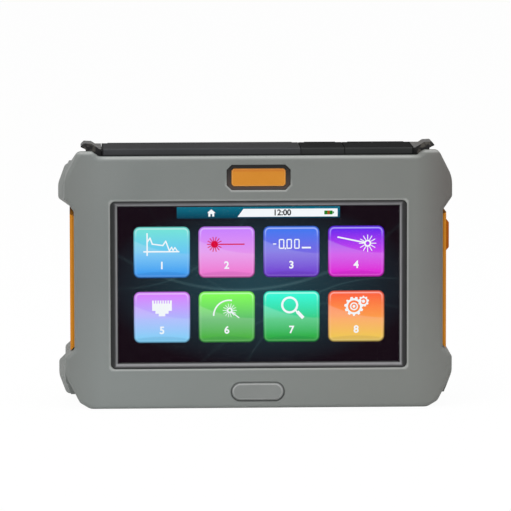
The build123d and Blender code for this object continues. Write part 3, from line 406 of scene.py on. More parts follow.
def surround_finish():
    finish = Finish("dark_plate_frame", Specular_IOR_Level=0.3)
    spot, (_, _, z) = finish.place()
    cloud = finish.noise(spot, 300.0)
    rise = finish.past(z, plate_z - 5.8, plate_z + 5.2)
    shade = finish.mix(rise, srgb(70, 58, 54), srgb(20, 17, 14))
    shade = finish.mix(cloud * 0.3, shade, srgb(14, 12, 12))
    return finish.set(Base_Color=shade, Roughness=cloud * 0.2 + 0.35)


dress(key_finish(), "front_key")
dress(plate_finish(), "badge_plate")
dress(surround_finish(), "badge_surround")

# %% [markdown]
# Metals need little colour and much roughness. Turned and pressed parts carry fine lines from their
# tools; for the pressed sheet the noise is stretched along one direction. The cast box of the optics
# has a grain like fine sand instead. Gilt contacts and ceramic sleeves are smooth.

# %% Metals, ceramic and wrapped parts
def metal(name, colour, rough, stretch=(1.0, 1.0, 1.0), scale=900.0):
    finish = Finish(name, Metallic=1.0)
    spot, _ = finish.place()
    lines = finish.node("ShaderNodeMapping", {}, {"Vector": spot, "Scale": stretch})
    brushed = finish.noise(lines, scale, 3.0)
    return finish.set(
        Base_Color=finish.mix(brushed, tinted(colour, 0.82), colour),
        Roughness=brushed * 0.25 + (rough - 0.1),
        Normal=finish.bump(brushed, 0.2, 0.03),
    )


def smooth(name, colour, rough, **constants):
    finish = Finish(name, **constants)
    spot, _ = finish.place()
    cloud = finish.noise(spot, 300.0)
    colour = finish.mix(cloud, colour, tinted(colour, 1.08))
    return finish.set(Base_Color=colour, Roughness=cloud * 0.1 + rough)


steel = metal("zinc_plated_steel", srgb(176, 177, 180), 0.32)
sheet_metal = metal("pressed_sheet_metal", srgb(190, 191, 193), 0.36, (0.08, 1.0, 1.0), 1500.0)
cast_metal = metal("cast_aluminium", srgb(178, 180, 182), 0.55, scale=2200.0)
nickel = metal("nickel_plated_brass", srgb(196, 193, 184), 0.24)
gilt = metal("gilt_contacts", srgb(232, 190, 96), 0.25)
brass = metal("turned_brass", srgb(208, 172, 92), 0.34)
ceramic = smooth("white_ceramic", srgb(238, 236, 228), 0.12, Coat_Weight=0.4)
blue_wrap = smooth("blue_shrink_wrap", srgb(28, 66, 138), 0.28, Coat_Weight=0.3)

dress(steel, "case_screws", "plate_screws", "board_screws", "module_screws", "door_screws",
      "port_board_screws", "hinge_rod", "stand_pins")
dress(sheet_metal, "display_plate", "processor_shield", "usb_socket")
dress(cast_metal, "optics_module")
dress(nickel, "otdr_port", "power_meter_port", "fault_locator_port", "port_nuts")
dress(gilt, "jack_contacts", "inlet_pin")
dress(brass, "board_standoffs")
dress(ceramic, "port_sleeves")
dress(blue_wrap, "battery_pack")

# %% [markdown]
# The boards are green lacquer over copper. Tracks show as a slightly paler green below the
# lacquer. A brick pattern gives short straight runs that pass for tracks, and it costs one node.

# %% Circuit boards
def circuit_board(name, chips_behind=None):
    """A green board. What stands further back than the depth chips_behind is a black chip."""
    finish = Finish(name)
    spot, (_, y, _) = finish.place()
    turned = finish.node("ShaderNodeMapping", {}, {"Vector": spot, "Rotation": (radians(90), 0, 0)})
    tracks = finish.node("ShaderNodeTexBrick", {"offset": 0.37, "squash": 1.6}, {
        "Vector": turned, "Scale": 160.0, "Mortar Size": 0.035,
        "Color1": srgb(14, 84, 48), "Color2": srgb(18, 92, 54), "Mortar": srgb(44, 128, 78),
    })
    rough = finish.noise(spot, 500.0)
    coat = 0.35
    if chips_behind is not None:
        chip = y > (front_face + chips_behind) * mm
        tracks = finish.mix(chip, tracks, srgb(27, 27, 29))
        coat = (1 - chip) * 0.35
    return finish.set(Base_Color=tracks, Roughness=rough * 0.2 + 0.3, Coat_Weight=coat)


dress(circuit_board("green_circuit_board"), "port_board", "front_key_board", "side_key_board")
dress(circuit_board("green_main_board", 19.15), "main_board")

# %% [markdown]
# The touch glass is clear, with a coating that takes most of the reflection away. The panel
# behind it is a dark frame. Its lit picture is a thin sheet of its own, so that it can shine.

# %% Glass and the panel's frame
touch_clear = Finish("clear_touch_glass", Transmission_Weight=1.0, IOR=1.06, Specular_IOR_Level=0.1)
glass_spot, _ = touch_clear.place()
smear = touch_clear.noise(glass_spot, 40.0, 3.0)
touch_clear.set(
    Base_Color=touch_clear.mix(smear, (0.97, 0.98, 0.98, 1.0), (1.0, 1.0, 1.0, 1.0)),
    Roughness=smear * 0.02,
)
panel_frame = smooth("dark_panel_frame", srgb(24, 24, 26), 0.45)
dress(touch_clear, "touch_glass")
dress(panel_frame, "display_panel")

# %% [markdown]
# The frame round the picture slopes in to the glass. Its colour is painted light and shade: the outer
# rim is nearly black, as painted shade, and the slope is a grey painted as a reflection, with a
# painted highlight just before it meets the glass. How far a point lies from the picture is the
# larger of its distances across and up, and a ramp turns that into a shade. The slope is steeper at
# the sides, so the distance across counts a little more.

# %% The frame round the picture
screen_wide, screen_tall, frame_wide = 154.1, 85.9, 4.0


def bezel_finish():
    finish = Finish("sloping_dark_frame", Specular_IOR_Level=0.2)
    spot, (x, _, z) = finish.place()
    off_x = abs(x) - screen_wide / 2 * mm
    off_z = abs(z - screen_z * mm) - screen_tall / 2 * mm
    share = (off_x * 1.3).most(off_z) / (frame_wide * mm)
    # The stops are painted shade at the outer rim and a painted reflection and highlight on the slope
    # near the glass.
    stops = [
        (0.0, srgb(38, 38, 40)), (0.1, srgb(52, 52, 54)), (0.2, srgb(148, 148, 150)),
        (0.4, srgb(122, 122, 124)), (0.54, srgb(72, 72, 73)), (0.7, srgb(48, 49, 49)),
        (1.0, srgb(38, 39, 39)),
    ]
    shade = finish.node("ShaderNodeValToRGB", {"stops": stops}, {0: share})
    cloud = finish.noise(spot, 260.0)
    shade = finish.mix(cloud * 0.16, shade, srgb(20, 20, 20))
    return finish.set(Base_Color=shade, Roughness=cloud * 0.15 + 0.35)


dress(bezel_finish(), "screen_bezel")

# %% [markdown]
# Flat signs on the screen are thin closed plates, cut from outlines. Four helpers draw them: a
# band along a line, a disc, a ring, and a rectangle with round corners. Each gives flat corners
# and faces, and a last helper pulls them all into one mesh with a thickness. Millimetres are used
# for the outlines, because that is how the screen is measured.

# %% Outlines for signs
merge_distance = 0.0001 * mm


def band(points, width):
    """A line through some points, as a strip of quads with this width."""
    corners, faces = [], []
    for start, end in zip(points, points[1:]):
        along = Vector(end) - Vector(start)
        across = Vector((-along.y, along.x)).normalized() * width / 2
        reach = along.normalized() * width * 0.35
        first = len(corners)
        for spot in (Vector(start) - reach, Vector(end) + reach):
            corners += [spot + across, spot - across]
        faces.append([first, first + 1, first + 3, first + 2])
    return corners, faces


def disc(x, z, radius, count):
    """A disc with this many corners."""
    turns = [2 * pi * index / count for index in range(count)]
    corners = [Vector((x + radius * cos(turn), z + radius * sin(turn))) for turn in turns]
    return corners, [list(range(count))]


def ring(x, z, inner, outer, count=32, start=0.0, sweep=2 * pi, teeth=0, tooth=0.0):
    """A ring or an arc of one, with square teeth on its outside if it has any."""
    corners, faces = [], []
    last = count if sweep == 2 * pi else count + 1
    for index in range(last):
        turn = start + sweep * index / count
        reach = outer
        if teeth:
            reach += tooth if (turn * teeth / (2 * pi)) % 1.0 < 0.5 else 0.0
        way = Vector((cos(turn), sin(turn)))
        corners += [Vector((x, z)) + way * inner, Vector((x, z)) + way * reach]
    for index in range(count):
        one, two = 2 * index, 2 * ((index + 1) % last)
        faces.append([one, one + 1, two + 1, two])
    return corners, faces


def rounded_plate(x, z, wide, tall, radius, count=6):
    """A rectangle with round corners."""
    corners = []
    for step, (side, rise) in enumerate(((1, 1), (-1, 1), (-1, -1), (1, -1))):
        centre = Vector((x + side * (wide / 2 - radius), z + rise * (tall / 2 - radius)))
        for index in range(count + 1):
            turn = pi / 2 * (step + index / count)
            corners.append(centre + Vector((cos(turn), sin(turn))) * radius)
    return corners, [list(range(len(corners)))]

# %% Outlines pulled into pieces
def place(depth):
    """Y of a plane this far behind the front face, in millimetres."""
    return front_face + depth


def thin_plates(name, shapes, layer, finish, body="case"):
    """Pulls flat shapes into thin closed plates, as one piece that fills a layer of depths."""
    near, far = layer
    sheet = bmesh.new()
    for corners, faces in shapes:
        made = [sheet.verts.new((spot.x * mm, place(far) * mm, spot.y * mm)) for spot in corners]
        for face in faces:
            sheet.faces.new([made[index] for index in face])
    bmesh.ops.remove_doubles(sheet, verts=sheet.verts, dist=merge_distance)
    pulled = bmesh.ops.extrude_face_region(sheet, geom=list(sheet.faces))
    moved = [item for item in pulled["geom"] if isinstance(item, bmesh.types.BMVert)]
    bmesh.ops.translate(sheet, verts=moved, vec=(0, (near - far) * mm, 0))
    bmesh.ops.recalc_face_normals(sheet, faces=sheet.faces)
    return finished(name, sheet, finish, body)


def linked(name, data):
    """A new object in the scene."""
    made = bpy.data.objects.new(name, data)
    bpy.context.scene.collection.objects.link(made)
    return made


def finished(name, sheet, finish, body):
    """Turns a bmesh into an object with a finish, riding on a body."""
    mesh = bpy.data.meshes.new(name)
    sheet.to_mesh(mesh)
    sheet.free()
    mesh.materials.append(finish.material)
    piece = linked(name, mesh)
    if body:
        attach(piece, body)
    print(name, len(mesh.polygons), "faces")
    return piece

# %% [markdown]
# The lit picture is dark, with a wide teal glow across its middle and a few faint curved
# streaks. It is painted by the shader alone: one wide soft spot for the glow, and thin bands
# along circles for the streaks. What is lit goes to Emission Color, at a strength of one, so that
# it keeps its written colour in any light. The sheets of the picture lie in layers, each a little
# in front of the one before, and a layer is given by the depths of its front and its back. A
# streak has the middle of its circle, its radius, its width and its strength.

# %% Lit background of the screen
picture_layer, bar_layer = (4.5, 4.58), (4.42, 4.5)
sign_layer, bar_sign_layer, figure_layer = (4.34, 4.4), (4.36, 4.41), (4.32, 4.355)
streaks = [
    (-10, 190, 125, 1.2, 1.0), (50, -60, 118, 0.8, 0.7), (30, 150, 98, 0.6, 0.5),
    (-75, 145, 79, 0.7, 0.8), (68, -12, 83, 0.7, 0.9),
]


def lit(name):
    """A finish that only shines."""
    return Finish(name, Base_Color=(0.0, 0.0, 0.0, 1.0), Roughness=0.5,
                  Specular_IOR_Level=0.0, Emission_Strength=1.0)


def streak(finish, x, z, middle_x, middle_z, radius, width, strength):
    """A soft band along a circle, whose sizes are in millimetres."""
    off_x, off_z = x - middle_x * mm, z - middle_z * mm
    off = abs((off_x * off_x + off_z * off_z) ** 0.5 - radius * mm)
    return finish.near(off, 0.0, width) * strength


dark_picture = lit("lit_screen_background")
_, (x, _, z) = dark_picture.place()
off_x, off_z = x / (0.5 * screen_wide * mm), (z - screen_z * mm) / (0.5 * screen_tall * mm)
glow = 1 - dark_picture.step((off_x * off_x * 0.85 + off_z * off_z * 0.95) ** 0.5, 0.1, 1.05)
lines = sum(streak(dark_picture, x, z, *sizes) for sizes in streaks)
shade = dark_picture.mix(glow, srgb(22, 12, 20), srgb(37, 66, 76))
shade = dark_picture.mix(lines * (glow * 0.8 + 0.2) * 0.16, shade, srgb(120, 165, 170))
dark_picture.set(Emission_Color=shade)
whole_screen = rounded_plate(0, screen_z, screen_wide, screen_tall, 0.2, 1)
background = thin_plates("screen_background", [whole_screen], picture_layer, dark_picture)

# %% [markdown]
# Eight tiles lie on the screen in two rows of four, which is what Geometry Nodes do well. The
# tree takes one rounded plate, puts it on a grid of points and makes the result real. Its inputs
# are the counts, the pitches, the centre and the finish. Every tile has its own colours, so the
# shader works out which tile a point is in, and reads its upper, middle and lower colour from
# three ramps with one stop for each tile.

# %% Nodes, wires and inputs of a tree
def set_inputs(modifier, tree, values):
    """Sets a modifier's inputs by the identifiers of their sockets."""
    for item in tree.interface.items_tree:
        if item.item_type == "SOCKET" and item.in_out == "INPUT" and item.name in values:
            modifier[item.identifier] = values[item.name]


def new_tree(name, inputs):
    """An empty tree with named inputs and one geometry output."""
    tree = bpy.data.node_groups.new(name, "GeometryNodeTree")
    for label, kind in {"Geometry": "Geometry", **inputs}.items():
        tree.interface.new_socket(label, in_out="INPUT", socket_type="NodeSocket" + kind)
    tree.interface.new_socket("Geometry", in_out="OUTPUT", socket_type="NodeSocketGeometry")
    given, result = tree.nodes.new("NodeGroupInput"), tree.nodes.new("NodeGroupOutput")
    return tree, given.outputs, result


def wire(tree, kind, settings=None, **sockets):
    """Adds a node. Keys are names of inputs with _ for spaces, or in_N for a place."""
    named = {}
    for key, value in sockets.items():
        named[int(key[3:]) if key.startswith("in_") else key.replace("_", " ")] = value
    return add_node(tree, kind, settings or {}, named)


# %% What the trees have in common
def sums(tree, operation, left, right=0.0):
    """Adds a Math node to a tree."""
    return wire(tree, "ShaderNodeMath", {"operation": operation}, in_0=left, in_1=right).outputs[0]


def grid_points(tree, given, pitch_across, pitch_up):
    """Points on an upright grid, with as many across and up as the tree is given."""
    def span(count, pitch):
        return sums(tree, "MULTIPLY", sums(tree, "SUBTRACT", given[count], 1.0), given[pitch])
    grid = wire(tree, "GeometryNodeMeshGrid", Size_X=span("Across", pitch_across),
                Size_Y=span("Up", pitch_up), Vertices_X=given["Across"], Vertices_Y=given["Up"])
    upright = wire(tree, "GeometryNodeTransform", Geometry=grid.outputs["Mesh"],
                   Rotation=(radians(90), 0, 0), Translation=given["Centre"])
    return wire(tree, "GeometryNodeMeshToPoints", Mesh=upright.outputs[0]).outputs[0]


def close_tree(tree, given, result, shape):
    """Makes the shape real, gives it the finish and sends it out."""
    real = wire(tree, "GeometryNodeRealizeInstances", Geometry=shape.outputs[0])
    coloured = wire(tree, "GeometryNodeSetMaterial", Geometry=real.outputs[0],
                    Material=given["Finish"])
    tree.links.new(coloured.outputs[0], result.inputs[0])
    return tree

# %% A tree that repeats a piece on an upright grid
def grid_tree():
    tree, given, result = new_tree("repeat_on_grid", {
        "Across": "Int", "Up": "Int", "Pitch across": "Float", "Pitch up": "Float",
        "Centre": "Vector", "Finish": "Material",
    })
    points = grid_points(tree, given, "Pitch across", "Pitch up")
    copies = wire(tree, "GeometryNodeInstanceOnPoints", Points=points, Instance=given["Geometry"])
    return close_tree(tree, given, result, copies)


def grown(name, seed_mesh, tree, values, body):
    """Runs a tree on a mesh, and keeps the result as a plain mesh that rides on a body."""
    holder = linked(name + "_seed", seed_mesh)
    modifier = holder.modifiers.new("grow", "NODES")
    modifier.node_group = tree
    set_inputs(modifier, tree, values)
    ready = holder.evaluated_get(bpy.context.evaluated_depsgraph_get())
    mesh = bpy.data.meshes.new_from_object(ready)
    mesh.name = name
    # Only the last slot is kept, the one that the tree set.
    while len(mesh.materials) > 1:
        mesh.materials.pop(index=0)
    holder.modifiers.remove(modifier)
    bpy.data.objects.remove(holder)
    piece = linked(name, mesh)
    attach(piece, body)
    print(name, len(mesh.polygons), "faces from", tree.name)
    return piece

# %% Colours of the tiles
tile_wide, tile_tall = 30.8, 28.2
tile_pitch, tile_rise = 35.53, 35.8
tile_x, tile_z = 0.3, 68.0
tile_corner, tile_thick = 3.3, 0.08
tiles_across, tiles_up = 4, 2
tile_colours = [
    ((118, 228, 218), (104, 196, 246), (62, 154, 242)),
    ((202, 132, 255), (232, 150, 238), (242, 120, 206)),
    ((68, 122, 242), (122, 104, 228), (118, 66, 208)),
    ((100, 44, 240), (206, 70, 238), (228, 46, 212)),
    ((218, 132, 255), (172, 184, 254), (130, 212, 248)),
    ((134, 255, 92), (96, 190, 110), (78, 178, 60)),
    ((60, 250, 218), (60, 204, 130), (50, 168, 52)),
    ((255, 100, 66), (254, 160, 78), (240, 206, 92)),
]


def tile_finish():
    """Three colours from top to bottom, a curved gloss, a pale bevel and a dark rim."""
    white = (1.0, 1.0, 1.0, 1.0)
    finish = lit("lit_menu_tiles")
    _, (x, _, z) = finish.place()
    column = ((x - (tile_x - tiles_across / 2 * tile_pitch) * mm) / (tile_pitch * mm)).floor()
    row = z < tile_z * mm
    which = (column + row * tiles_across + 0.5) / len(tile_colours)
    first_x = tile_x - (tiles_across - 1) / 2 * tile_pitch
    side = (x - first_x * mm - column * (tile_pitch * mm)) / (0.5 * tile_wide * mm)
    middle = (tile_z + tile_rise / 2) * mm
    rise = (z - middle + row * (tile_rise * mm)) / (0.5 * tile_tall * mm)
    rows = []
    for level in range(3):
        stops = [(index / len(tile_colours), srgb(*colours[level]))
                 for index, colours in enumerate(tile_colours)]
        settings = {"stops": stops, "interpolation": "CONSTANT"}
        rows.append(finish.node("ShaderNodeValToRGB", settings, {0: which}))
    body = finish.mix(finish.step(rise, -0.95, 0.0), rows[2], rows[1])
    body = finish.mix(finish.step(rise, -0.1, 0.9), body, rows[0])
    curve = rise + 0.06 - (side - 1.0) * (side - 1.0) * 0.13
    below = 1 - finish.step(curve, -0.03, 0.03)
    body = finish.mix(below * finish.step(rise, -0.75, 0.1) * 0.11, body, white)
    foot = 1 - finish.step(rise + 0.76 + side * side * 0.1, -0.03, 0.03)
    body = finish.mix(foot * 0.16, body, (0.01, 0.0, 0.12, 1.0))
    out_x = (abs(side) * (tile_wide / 2) - (tile_wide / 2 - tile_corner)).most(0.0)
    out_z = (abs(rise) * (tile_tall / 2) - (tile_tall / 2 - tile_corner)).most(0.0)
    inward = tile_corner - (out_x * out_x + out_z * out_z) ** 0.5
    bevel = 1 - finish.step(abs(inward - 1.15), 0.1, 0.55)
    rim = 1 - finish.step(inward, 0.3, 0.9)
    low = finish.step(rise, -0.2, -0.8)
    body = finish.mix(bevel * (finish.step(rise, 0.55, 0.95) * 0.34 + 0.06), body, white)
    body = finish.mix(rim * (low * 0.3 + 0.34), body, (0.01, 0.0, 0.03, 1.0))
    return finish.set(Emission_Color=body)

# %% Tiles
tile_light = tile_finish()
tile_outline = rounded_plate(0, 0, tile_wide, tile_tall, tile_corner)
tile_layer = (-front_face - tile_thick, -front_face)
one_tile = thin_plates("one_tile", [tile_outline], tile_layer, tile_light, None)
tile_mesh = one_tile.data
bpy.data.objects.remove(one_tile)
tiles = grown("screen_tiles", tile_mesh, grid_tree(), {
    "Across": tiles_across, "Up": tiles_up,
    "Pitch across": tile_pitch * mm, "Pitch up": tile_rise * mm,
    "Centre": (tile_x * mm, place(picture_layer[0]) * mm, tile_z * mm),
    "Finish": tile_light.material,
}, "case")

# %% [markdown]
# Each tile carries a plain sign for what it opens: a trace on two axes, a spark with its beam, a
# reading, a source, a socket, a meter, a glass and two gears. They are this file's own drawings,
# made from the outlines above. A plain number stands under each.

# %% Helpers for the signs
def tile_centre(index):
    """Centre of a tile, counted along the rows from the upper left."""
    column, row = index % tiles_across, index // tiles_across
    x = tile_x + (column - (tiles_across - 1) / 2) * tile_pitch
    return x, tile_z + ((tiles_up - 1) / 2 - row) * tile_rise


def spark(x, z, inner, outer, count, width):
    """Thin rays round a centre."""
    rays = []
    for index in range(count):
        turn = 2 * pi * index / count
        way = Vector((cos(turn), sin(turn)))
        rays.append(band([Vector((x, z)) + way * inner, Vector((x, z)) + way * outer], width))
    return rays


def at(index, points):
    """Points given from the centre of a tile."""
    x, z = tile_centre(index)
    return [(x + right, z + up) for right, up in points]


def nought(x, z, tall):
    """The figure 0 of a reading, from six short bars."""
    half, wide, thick = tall / 2, tall * 0.5, tall * 0.13
    gap = thick * 0.45
    bars = [[(x + gap, z + rise), (x + wide - gap, z + rise)] for rise in (half, -half)]
    for side in (x, x + wide):
        bars.append([(side, z + half - gap), (side, z + gap)])
        bars.append([(side, z - gap), (side, z - half + gap)])
    return [band(bar, thick) for bar in bars]


def lit_cloud(name, scale, first, second):
    """A lit finish that drifts a little between two colours."""
    finish = lit(name)
    spot, _ = finish.place()
    return finish.set(Emission_Color=finish.mix(finish.noise(spot, scale), first, second))

# %% Signs of the upper row: trace, reading and source
white_signs = [
    band(at(0, [(-8.0, 10.4), (-8.0, -1.6)]), 0.75),
    band(at(0, [(-9.8, 0.4), (9.4, 0.4)]), 0.75),
    band(at(0, [(-8.0, 5.6), (-6.4, 8.0), (-5.2, 4.6), (0.6, 3.8), (2.2, 6.2), (4.2, 0.8)]), 0.7),
    band(at(0, [(4.2, 0.8), (5.4, 2.9), (6.2, 1.0), (7.2, 2.7), (8.6, 0.6)]), 0.6),
]
x, z = tile_centre(2)
white_signs += [band([(x - 9.9, z + 4.3), (x - 8.5, z + 4.3)], 0.6)]
for shift in (-6.6, -2.4, 1.8):
    white_signs += nought(x + shift, z + 4.3, 4.8)
white_signs += [
    disc(x - 3.3, z + 1.8, 0.5, 10),
    band([(x + 6.0, z + 2.2), (x + 10.4, z + 2.2)], 0.9),
]

x, z = tile_centre(3)
white_signs += spark(x + 6.3, z + 4.4, 2.3, 4.6, 12, 0.45)
white_signs += [
    ring(x + 6.3, z + 4.4, 1.1, 2.0, 20),
    band([(x - 10.0, z + 7.9), (x + 4.2, z + 4.9)], 0.8),
]

# %% Signs of the lower row: socket, meter, glass and gears
x, z = tile_centre(4)
socket_half = [(5.4, 9.3), (5.4, 3.6), (3.6, 3.6), (3.6, 2.0), (1.8, 2.0), (1.8, 0.6)]
pins = []
for pin in range(7):
    left = -4.4 + pin * 1.36
    pins += [(left, 9.3), (left, 7.6), (left + 0.55, 7.6), (left + 0.55, 9.3)]
other_half = [(-right, up) for right, up in reversed(socket_half)]
outline = other_half[-1:] + pins + socket_half + other_half[:-1]
corners = [Vector((x + right, z + up)) for right, up in outline]
white_signs += [(corners, [list(range(len(corners)))])]

x, z = tile_centre(5)
white_signs += [ring(x + 1.4, z + 0.6, 8.2, 9.0, 18, radians(80), radians(100))]
white_signs += spark(x + 1.6, z + 3.6, 1.5, 3.7, 14, 0.35)
white_signs += [
    ring(x + 1.6, z + 3.6, 0.7, 1.5, 18),
    band([(x + 2.7, z + 2.6), (x + 6.6, z - 0.4)], 0.6),
]

x, z = tile_centre(6)
white_signs += [
    ring(x - 1.0, z + 6.4, 3.5, 4.7),
    band([(x + 2.4, z + 3.2), (x + 3.6, z + 2.0)], 0.9),
    band([(x + 3.6, z + 2.2), (x + 6.0, z - 0.4)], 1.9),
]

x, z = tile_centre(7)
white_signs += [
    ring(x - 1.2, z + 5.4, 3.3, 4.4, 80, teeth=11, tooth=0.9),
    ring(x - 1.2, z + 5.4, 1.5, 2.2, 24),
    disc(x - 1.2, z + 5.4, 0.8, 16),
    ring(x + 4.0, z + 8.2, 1.7, 2.5, 64, teeth=9, tooth=0.55),
    disc(x + 4.0, z + 8.2, 0.9, 16),
]

# %% White signs and the red spark made into pieces
sign_light = lit_cloud("lit_white_signs", 60.0, srgb(236, 244, 250), srgb(252, 252, 252))
signs = thin_plates("screen_signs", white_signs, sign_layer, sign_light)

x, z = tile_centre(1)
red_light = lit_cloud("lit_red_sign", 200.0, srgb(206, 16, 70), srgb(226, 12, 44))
red_signs = spark(x - 6.6, z + 4.3, 1.3, 4.0, 14, 0.5) + [disc(x - 6.6, z + 4.3, 1.9, 20)]
red_signs += [band([(x - 4.0, z + 4.3), (x + 9.6, z + 4.3)], 0.65)]
red_piece = thin_plates("screen_beam_sign", red_signs, sign_layer, red_light)

# %% [markdown]
# Figures are easiest from a text object. Text becomes a mesh before its place is applied, and the
# figures are joined into one piece, because the export bakes each piece at the origin.

# %% Plain numbers under the signs
def figures(name, items, layer, finish):
    """Short rows of figures, each given as words, centre and height in millimetres."""
    near, far = layer
    joined = bmesh.new()
    for words, (x, z), tall in items:
        curve = bpy.data.curves.new(name + "_text", "FONT")
        curve.body = words
        curve.align_x = curve.align_y = "CENTER"
        curve.size = tall * 1.35 * mm
        curve.extrude = (far - near) / 2 * mm
        curve.offset = 0.035 * tall * mm
        holder = linked(name + "_holder", curve)
        bpy.context.view_layer.update()
        ready = holder.evaluated_get(bpy.context.evaluated_depsgraph_get())
        mesh = bpy.data.meshes.new_from_object(ready)
        centre = Matrix.Translation((x * mm, place((near + far) / 2) * mm, z * mm))
        mesh.transform(centre @ Matrix.Rotation(radians(90), 4, "X"))
        joined.from_mesh(mesh)
        bpy.data.objects.remove(holder)
        bpy.data.meshes.remove(mesh)
    bmesh.ops.remove_doubles(joined, verts=joined.verts, dist=merge_distance)
    for face in joined.faces:
        face.material_index = 0
    return finished(name, joined, finish, "case")


numbers = []
for index in range(len(tile_colours)):
    x, z = tile_centre(index)
    numbers.append((str(index + 1), (x, z - 7.4), 4.2))
tile_numbers = figures("screen_numbers", numbers, sign_layer, sign_light)

# %% [markdown]
# A narrow bar runs along the top of the picture. It has a teal ground, a plain house, a white
# slanted field with the time, and a small battery with a red mark.

# %% Bar along the top of the screen
teal_light = lit("lit_teal_bar")
_, (x, _, z) = teal_light.place()
fade = teal_light.past(z, 104.2, 110.5)
teal_light.set(Emission_Color=teal_light.mix(fade, srgb(10, 58, 80), srgb(18, 108, 132)))
bar_outline = rounded_plate(0.0, 107.6, 89.4, 6.3, 0.3, 2)
bar_plate = thin_plates("screen_bar", [bar_outline], bar_layer, teal_light)

# %% House, field for the time, clock and battery
field_corners = ((-11.4, 105.2), (-8.2, 109.6), (43.4, 109.6), (43.4, 105.2))
white_field = [Vector(spot) for spot in field_corners]
house_corners = (
    (-2.3, 0.0), (0.0, 2.0), (2.3, 0.0), (1.6, 0.0), (1.6, -2.0), (0.5, -2.0), (0.5, -0.6),
    (-0.5, -0.6), (-0.5, -2.0), (-1.6, -2.0), (-1.6, 0.0),
)
house = [Vector((-25.8 + right, 107.5 + up)) for right, up in house_corners]
bar_signs = [(white_field, [[0, 1, 2, 3]]), (house, [list(range(len(house)))])]
bar_sign_piece = thin_plates("screen_bar_signs", bar_signs, bar_sign_layer, sign_light)

ink_light = lit_cloud("lit_dark_figures", 90.0, srgb(4, 8, 12), srgb(12, 20, 26))
clock = figures("screen_clock", [("12:00", (13.0, 107.4), 3.3)], figure_layer, ink_light)

battery_x = 38.4
green_light = lit("lit_green_battery")
green_spot, (x, _, _) = green_light.place()
cloud = green_light.noise(green_spot, 90.0)
charged = green_light.mix(cloud, srgb(16, 110, 28), srgb(40, 142, 40))
red_mark = green_light.near(abs(x - battery_x * mm), 0.35, 0.75)
green_light.set(Emission_Color=green_light.mix(red_mark * 0.8, charged, srgb(196, 52, 30)))
battery_sign = [rounded_plate(battery_x, 107.4, 4.6, 2.1, 0.3, 2)]
battery_sign += [rounded_plate(battery_x + 2.7, 107.4, 0.6, 1.0, 0.1, 1)]
charge_piece = thin_plates("screen_battery", battery_sign, figure_layer, green_light)

# %% [markdown]
# The solid model has a plain ring where the spare fibre lies. Here each turn is drawn. The tree
# makes one circle for each turn, gives it a radius and a depth from its number and a little
# chance, and sweeps a round section along it. A jacketed fibre is about 0.9 mm thick. The drawn
# one is a little thinner than that, so that the turns don't run into each other.

# %% Turns of spare fibre
def fibre_tree():
    tree, given, result = new_tree("lay_turns", {
        "Turns across": "Int", "Turns deep": "Int", "First radius": "Float", "Pitch": "Float",
        "Jacket radius": "Float", "Looseness": "Float", "Centre": "Vector", "Seed": "Int",
        "Finish": "Material",
    })

    def chance(seed_shift):
        spread = wire(tree, "FunctionNodeRandomValue", {"data_type": "FLOAT"}, in_2=-1.0, in_3=1.0,
                      Seed=sums(tree, "ADD", given["Seed"], seed_shift))
        return sums(tree, "MULTIPLY", spread.outputs[1], given["Looseness"])

    number = wire(tree, "GeometryNodeInputIndex").outputs[0]
    across = given["Turns across"]
    row = sums(tree, "FLOOR", sums(tree, "DIVIDE", number, across))
    column = sums(tree, "MODULO", number, across)
    further = sums(tree, "MULTIPLY", column, given["Pitch"])
    radius = sums(tree, "ADD", sums(tree, "ADD", given["First radius"], further), chance(0.0))
    depth = sums(tree, "ADD", sums(tree, "MULTIPLY", row, given["Pitch"]), chance(7.0))
    offset = wire(tree, "ShaderNodeCombineXYZ", Y=depth).outputs[0]
    spot = wire(tree, "ShaderNodeVectorMath", {"operation": "ADD"}, in_0=given["Centre"], in_1=offset)
    points = wire(tree, "GeometryNodePoints", Position=spot.outputs[0],
                  Count=sums(tree, "MULTIPLY", across, given["Turns deep"]))
    circle = wire(tree, "GeometryNodeCurvePrimitiveCircle", Resolution=72, Radius=1.0)
    upright = wire(tree, "GeometryNodeTransform", Geometry=circle.outputs[0],
                   Rotation=(radians(90), 0, 0))
    size = wire(tree, "ShaderNodeCombineXYZ", X=radius, Y=1.0, Z=radius).outputs[0]
    turns = wire(tree, "GeometryNodeInstanceOnPoints", Points=points.outputs[0],
                 Instance=upright.outputs[0], Scale=size)
    lines = wire(tree, "GeometryNodeRealizeInstances", Geometry=turns.outputs[0])
    section = wire(tree, "GeometryNodeCurvePrimitiveCircle", Resolution=8,
                   Radius=given["Jacket radius"])
    tubes = wire(tree, "GeometryNodeCurveToMesh", Curve=lines.outputs[0],
                 Profile_Curve=section.outputs[0])
    return close_tree(tree, given, result, tubes)


fibre_jacket = smooth("yellow_fibre_jacket", srgb(226, 190, 60), 0.35, Specular_IOR_Level=0.4)
fibre_low, fibre_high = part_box("fibre_coil")
fibre_x, fibre_z = [(fibre_low[axis] + fibre_high[axis]) / 2 for axis in (0, 2)]
no_seed = bpy.data.meshes.new("no_seed")
fibre_turns = grown("fibre_turns", no_seed, fibre_tree(), {
    "Turns across": 5, "Turns deep": 4, "First radius": 12.3 * mm, "Pitch": 0.86 * mm,
    "Jacket radius": 0.42 * mm, "Looseness": 0.05 * mm, "Seed": 3,
    "Centre": (fibre_x, fibre_low[1] + 0.5 * mm, fibre_z), "Finish": fibre_jacket.material,
}, "case")
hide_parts("fibre_coil")

# %% [markdown]
# The optical ports are smooth in the solid model, because a thread would make it heavy. A spiral
# with a small four-sided section gives each barrel its thread. The pitch and the number of turns
# are inputs, and the section sits half in the barrel, so that only the crest shows.

